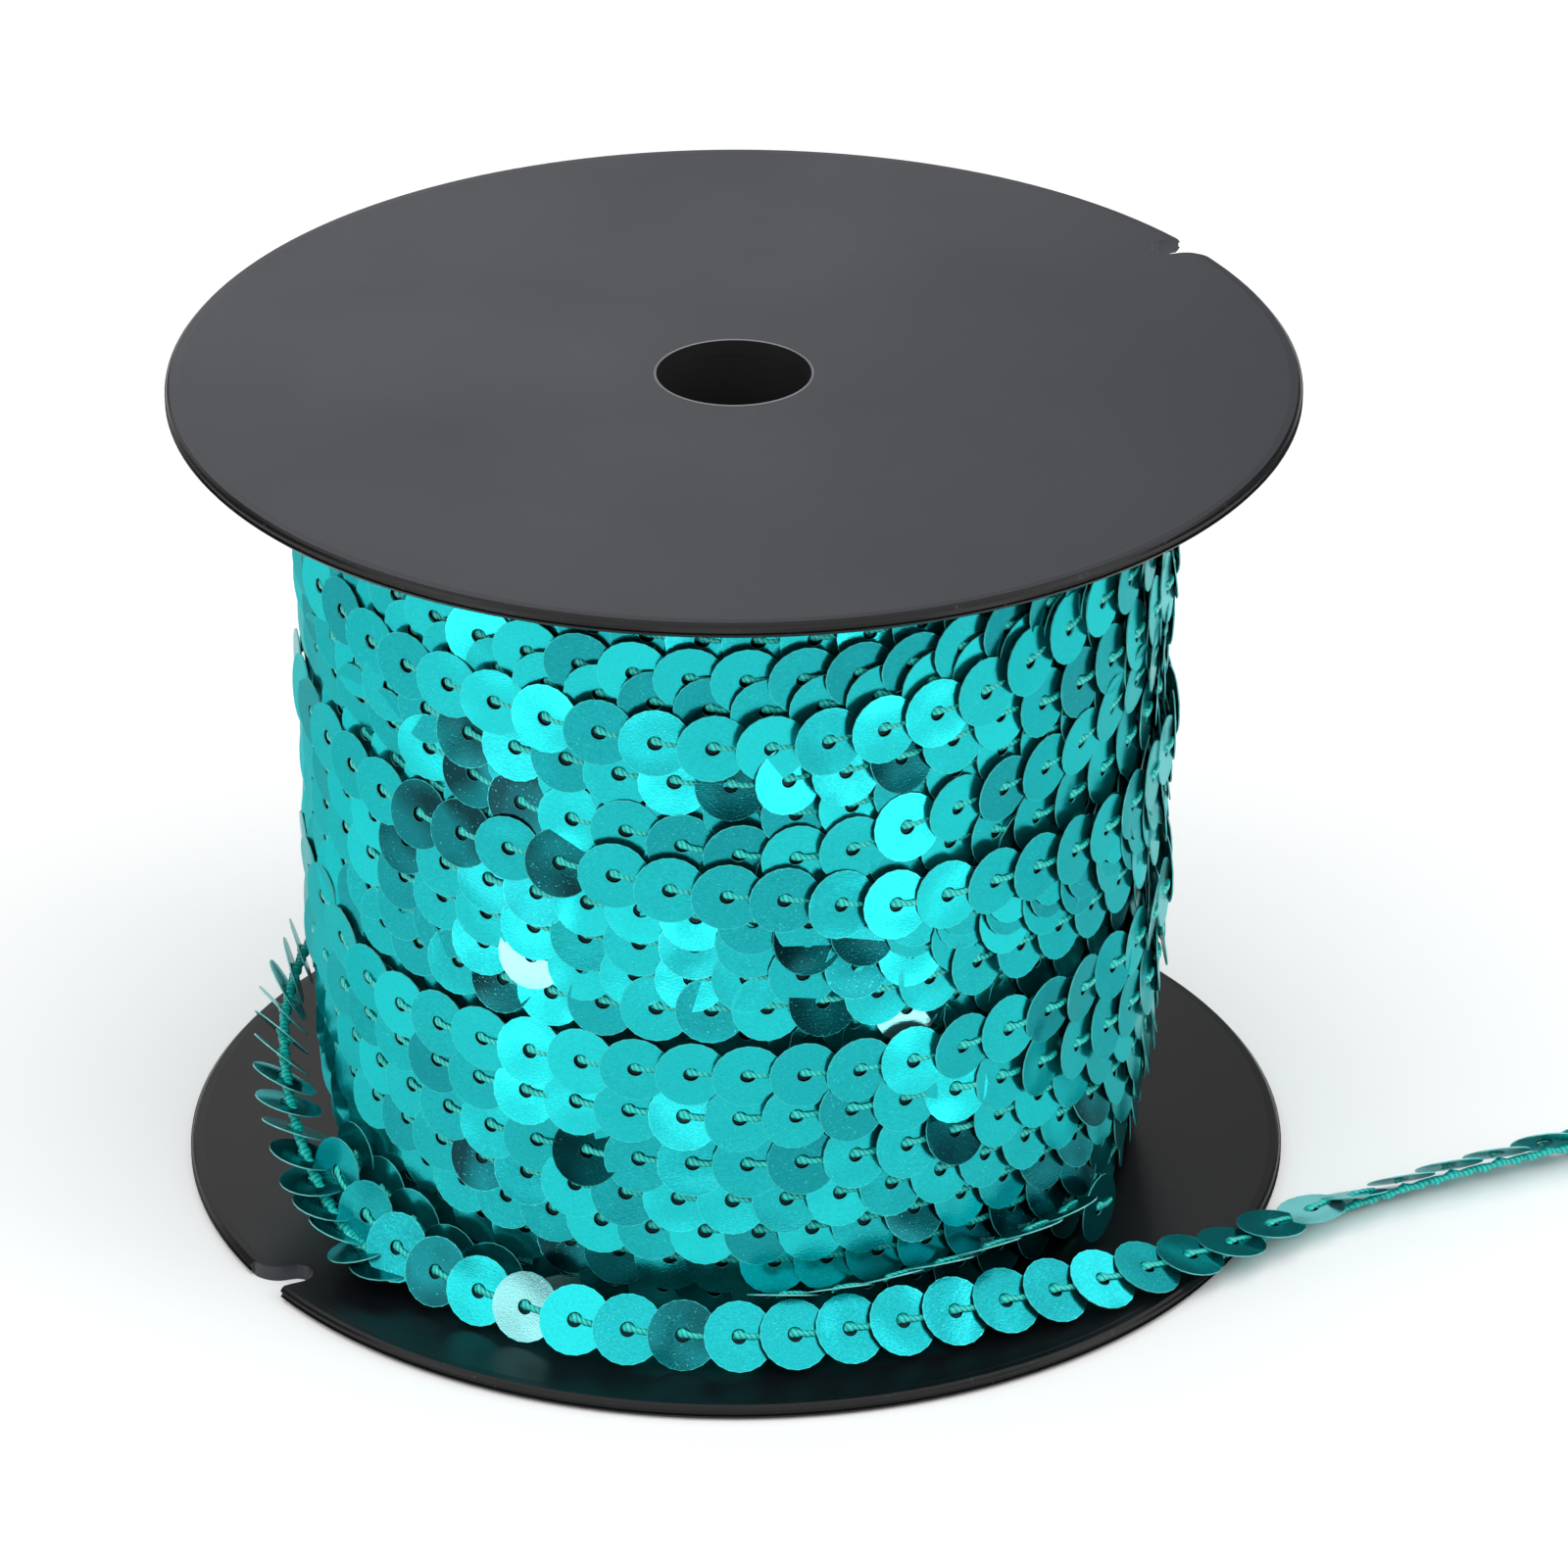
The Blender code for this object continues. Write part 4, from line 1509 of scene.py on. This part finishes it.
@dataclass
class LooseEnd:
    """The free end of the trim, round the front, over the bottom rim and out along the floor."""

    marks: tuple[Mark, ...] = (
        (-0.0326, -0.0222, 0.0068, 68.0),
        (-0.0283, -0.0281, 0.0051, 64.0),
        (-0.0217, -0.0337, 0.0045, 60.0),
        (-0.0133, -0.0385, 0.0044, 57.0),
        (-0.0044, -0.0408, 0.0043, 55.0),
        (0.0048, -0.0406, 0.0042, 52.0),
        (0.0139, -0.0382, 0.0041, 48.0),
        (0.0227, -0.0346, 0.0039, 42.0),
        (0.0309, -0.0303, 0.0034, 32.0),
        (0.0388, -0.0248, 0.0026, 12.0),
        (0.0425, -0.0219, 0.0022, -1.0),
        (0.0457, -0.0191, 0.0022, -8.0),
        (0.0522, -0.0140, 0.0018, -24.0),
        (0.0592, -0.0106, 0.0023, -40.0),
        (0.0676, -0.0068, 0.0025, -43.0),
        (0.0765, -0.0030, 0.0025, -43.0),
        (0.0808, -0.0012, 0.0025, -43.0),
    )
    disc_count: int = 28
    glints: tuple[tuple[int, Glint], ...] = ((2, D), (3, B), (4, W), (5, B), (7, D), (20, W))
    knot_r: float = 0.0007
    knot_behind: float = 0.0009
    knot_past: float = 0.0026
    thread_turns: tuple[float, ...] = (-12.0, 18.0)
    thread_step: float = 0.0022

    def dress(self, maker: TrimMaker) -> None:
        """Build the loose end, with its thread and knot.

        Args:
            maker: makes discs and thread.
        """
        route = Route.on_floor(self.marks)
        pitch = route.length / self.disc_count
        spine = route.spine(self.disc_count, pitch)
        seats = shingled(spine, 2.2, 23, (0.1, 0.5), dict(self.glints))
        discs = finish_piece("loose_end_sequins", maker.discs(seats, 7), ("loose_end",))
        thread = finish_piece("loose_end_thread", maker.stitches(seats, 8), (), 80)
        chain = finish_piece("loose_end_chain", maker.chain(spine, 10), (), 80)
        knot = finish_piece("loose_end_knot", self.knot(spine[-1], maker), (), 80)

    def knot(self, last: Seat, maker: TrimMaker) -> Mesh:
        """Model the knot behind the last disc, with the cut ends of its thread.

        Args:
            last: the last disc's seat.
            maker: makes the thread.

        Returns:
            The knot's mesh.
        """
        here = last.matrix().translation - last.face * self.knot_behind
        here += last.along * self.knot_past
        up = Vector((0, 0, 1))
        ends = []
        for degrees in self.thread_turns:
            way = Quaternion(up, math.radians(degrees)) @ last.along
            way.z = -0.12
            for place in (here, here + way * self.thread_step):
                ends.append(Seat(place, way.normalized(), up))
        mesh = maker.stitches(ends, 11)
        work = bmesh.new()
        work.from_mesh(mesh)
        ball = bmesh.ops.create_uvsphere(work, u_segments=12, v_segments=8, radius=self.knot_r)
        bmesh.ops.scale(work, vec=(1.3, 1.0, 0.9), verts=ball["verts"])
        bmesh.ops.translate(work, vec=here, verts=ball["verts"])
        work.to_mesh(mesh)
        work.free()
        return mesh


@dataclass(frozen=True)
class Lamp:
    """A soft lamp, which only reflections show.

    Attributes:
        name: its name.
        place: where it hangs.
        target: the point that it faces.
        width: of its face.
        height: of its face.
        radiance: brightness of its face; white paper in full light is 1.
        only_mirrored: whether it lights nothing but what mirrors it.
    """

    name: str
    place: tuple[float, float, float]
    target: tuple[float, float, float]
    width: float
    height: float
    radiance: float
    only_mirrored: bool = False

    def hang(self) -> None:
        """Put the lamp into the scene."""
        light = bpy.data.lights.new(self.name, "AREA")
        light.shape = "RECTANGLE"
        light.size, light.size_y = self.width, self.height
        light.energy = self.radiance * math.pi * self.width * self.height
        lamp = bpy.data.objects.new(self.name, light)
        lamp.location = self.place
        aim = Vector(self.target) - Vector(self.place)
        lamp.rotation_euler = aim.to_track_quat("-Z", "Y").to_euler()
        lamp.visible_camera = False
        lamp.visible_diffuse = not self.only_mirrored
        bpy.context.scene.collection.objects.link(lamp)


LAMPS = (
    Lamp("lamp_above", (0.0, -0.75, 0.95), (0, -0.75, 0), 3.2, 2.6, 1.52),
    Lamp("lamp_behind", (-0.68, 1.5, 0.68), (0, 0, 0.06), 1.8, 0.75, 0.84),
    Lamp("lamp_left", (-1.1, -0.5, 0.55), (0, 0, 0.03), 0.5, 0.8, 1.8),
    Lamp("lamp_right", (1.1, -0.3, 0.55), (0, 0, 0.03), 0.5, 0.8, 2.2),
    Lamp("lamp_high_behind", (0.61, 0.65, 0.91), (0.03, -0.03, 0), 1.0, 0.5, 0.95, True),
    Lamp("floor_glow_front", (-0.012, -0.18, 0.004), (-0.008, -0.12, 0.06), 0.055, 0.15, 1.6, True),
    Lamp("floor_glow_right", FLOOR_LAMP_AT, (0.06, -0.0625, 0.06), 0.06, 0.10, 1.65, True),
    Lamp("floor_glow_left", (-FLOOR_LAMP_AT[0], *FLOOR_LAMP_AT[1:]), (-0.06, -0.0625, 0.06),
         0.06, 0.10, 1.65, True),
)


@dataclass
class Studio:
    """A white paper floor, soft lamps and the camera of the photograph."""

    camera_down: float = 0.4775
    camera_right: float = 0.0062
    lens: float = 203.8
    floor_r: float = 4.0
    wall_grey: float = 0.15

    def build(self) -> None:
        """Set up the camera, the floor, the room's light and the lamps."""
        scene = bpy.context.scene
        scene.view_settings.view_transform = "Standard"
        camera = bpy.data.objects.new("camera", bpy.data.cameras.new("camera"))
        camera.data.lens = self.lens
        camera.data.sensor_width = 36.0
        camera.location = CAMERA_AT
        camera.rotation_euler = (math.pi / 2 - self.camera_down, 0.0, -self.camera_right)
        camera.data.clip_start, camera.data.clip_end = 0.01, 20.0
        scene.collection.objects.link(camera)
        scene.camera = camera

        work = bmesh.new()
        bmesh.ops.create_circle(work, cap_ends=True, segments=FACETS_ROUND, radius=self.floor_r)
        mesh = mesh_from(work)
        mesh.materials.append(StudioPaper().make())
        floor = bpy.data.objects.new("floor", mesh)
        scene.collection.objects.link(floor)

        world = bpy.data.worlds.new("white_room")
        world.use_nodes = True
        background = world.node_tree.nodes["Background"]
        background.inputs["Color"].default_value = (1.0, 1.0, 1.0, 1.0)
        background.inputs["Strength"].default_value = self.wall_grey
        scene.world = world
        for lamp in LAMPS:
            lamp.hang()


def main() -> None:
    """Build, dress and light the whole object."""
    logging.basicConfig(level=logging.INFO, format="%(name)s: %(message)s")
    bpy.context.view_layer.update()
    maker = TrimMaker(MetallisedFilm().make(), CutFilmEdge().make(), TwistedThread().make())
    Reel().dress()
    winding = Winding()
    seats = winding.seats()
    pressed = winding.pressed(seats)
    for number, run in enumerate(STRAY_RUNS):
        route = Route.round_reel(run.marks)
        spine = route.spine(int(route.length / DISC_PITCH), DISC_PITCH)
        laid = shingled(spine, run.wobble, 60 + number, run.tones, curl=run.curl)
        seats += laid
        pressed += laid
    inner = maker.inner_discs(winding.inner_seats(), 12)
    finish_piece("wound_layers", winding.core(ShadedFilm().make()), ("winding",))
    finish_piece("inner_sequins", inner)
    finish_piece("wound_sequins", maker.discs(seats, 3))
    finish_piece("wound_thread", maker.stitches(pressed, 4), sharp_degrees=80)
    LastTurn().dress(maker)
    LooseEnd().dress(maker)
    Studio().build()


if __name__ == "__main__":
    main()
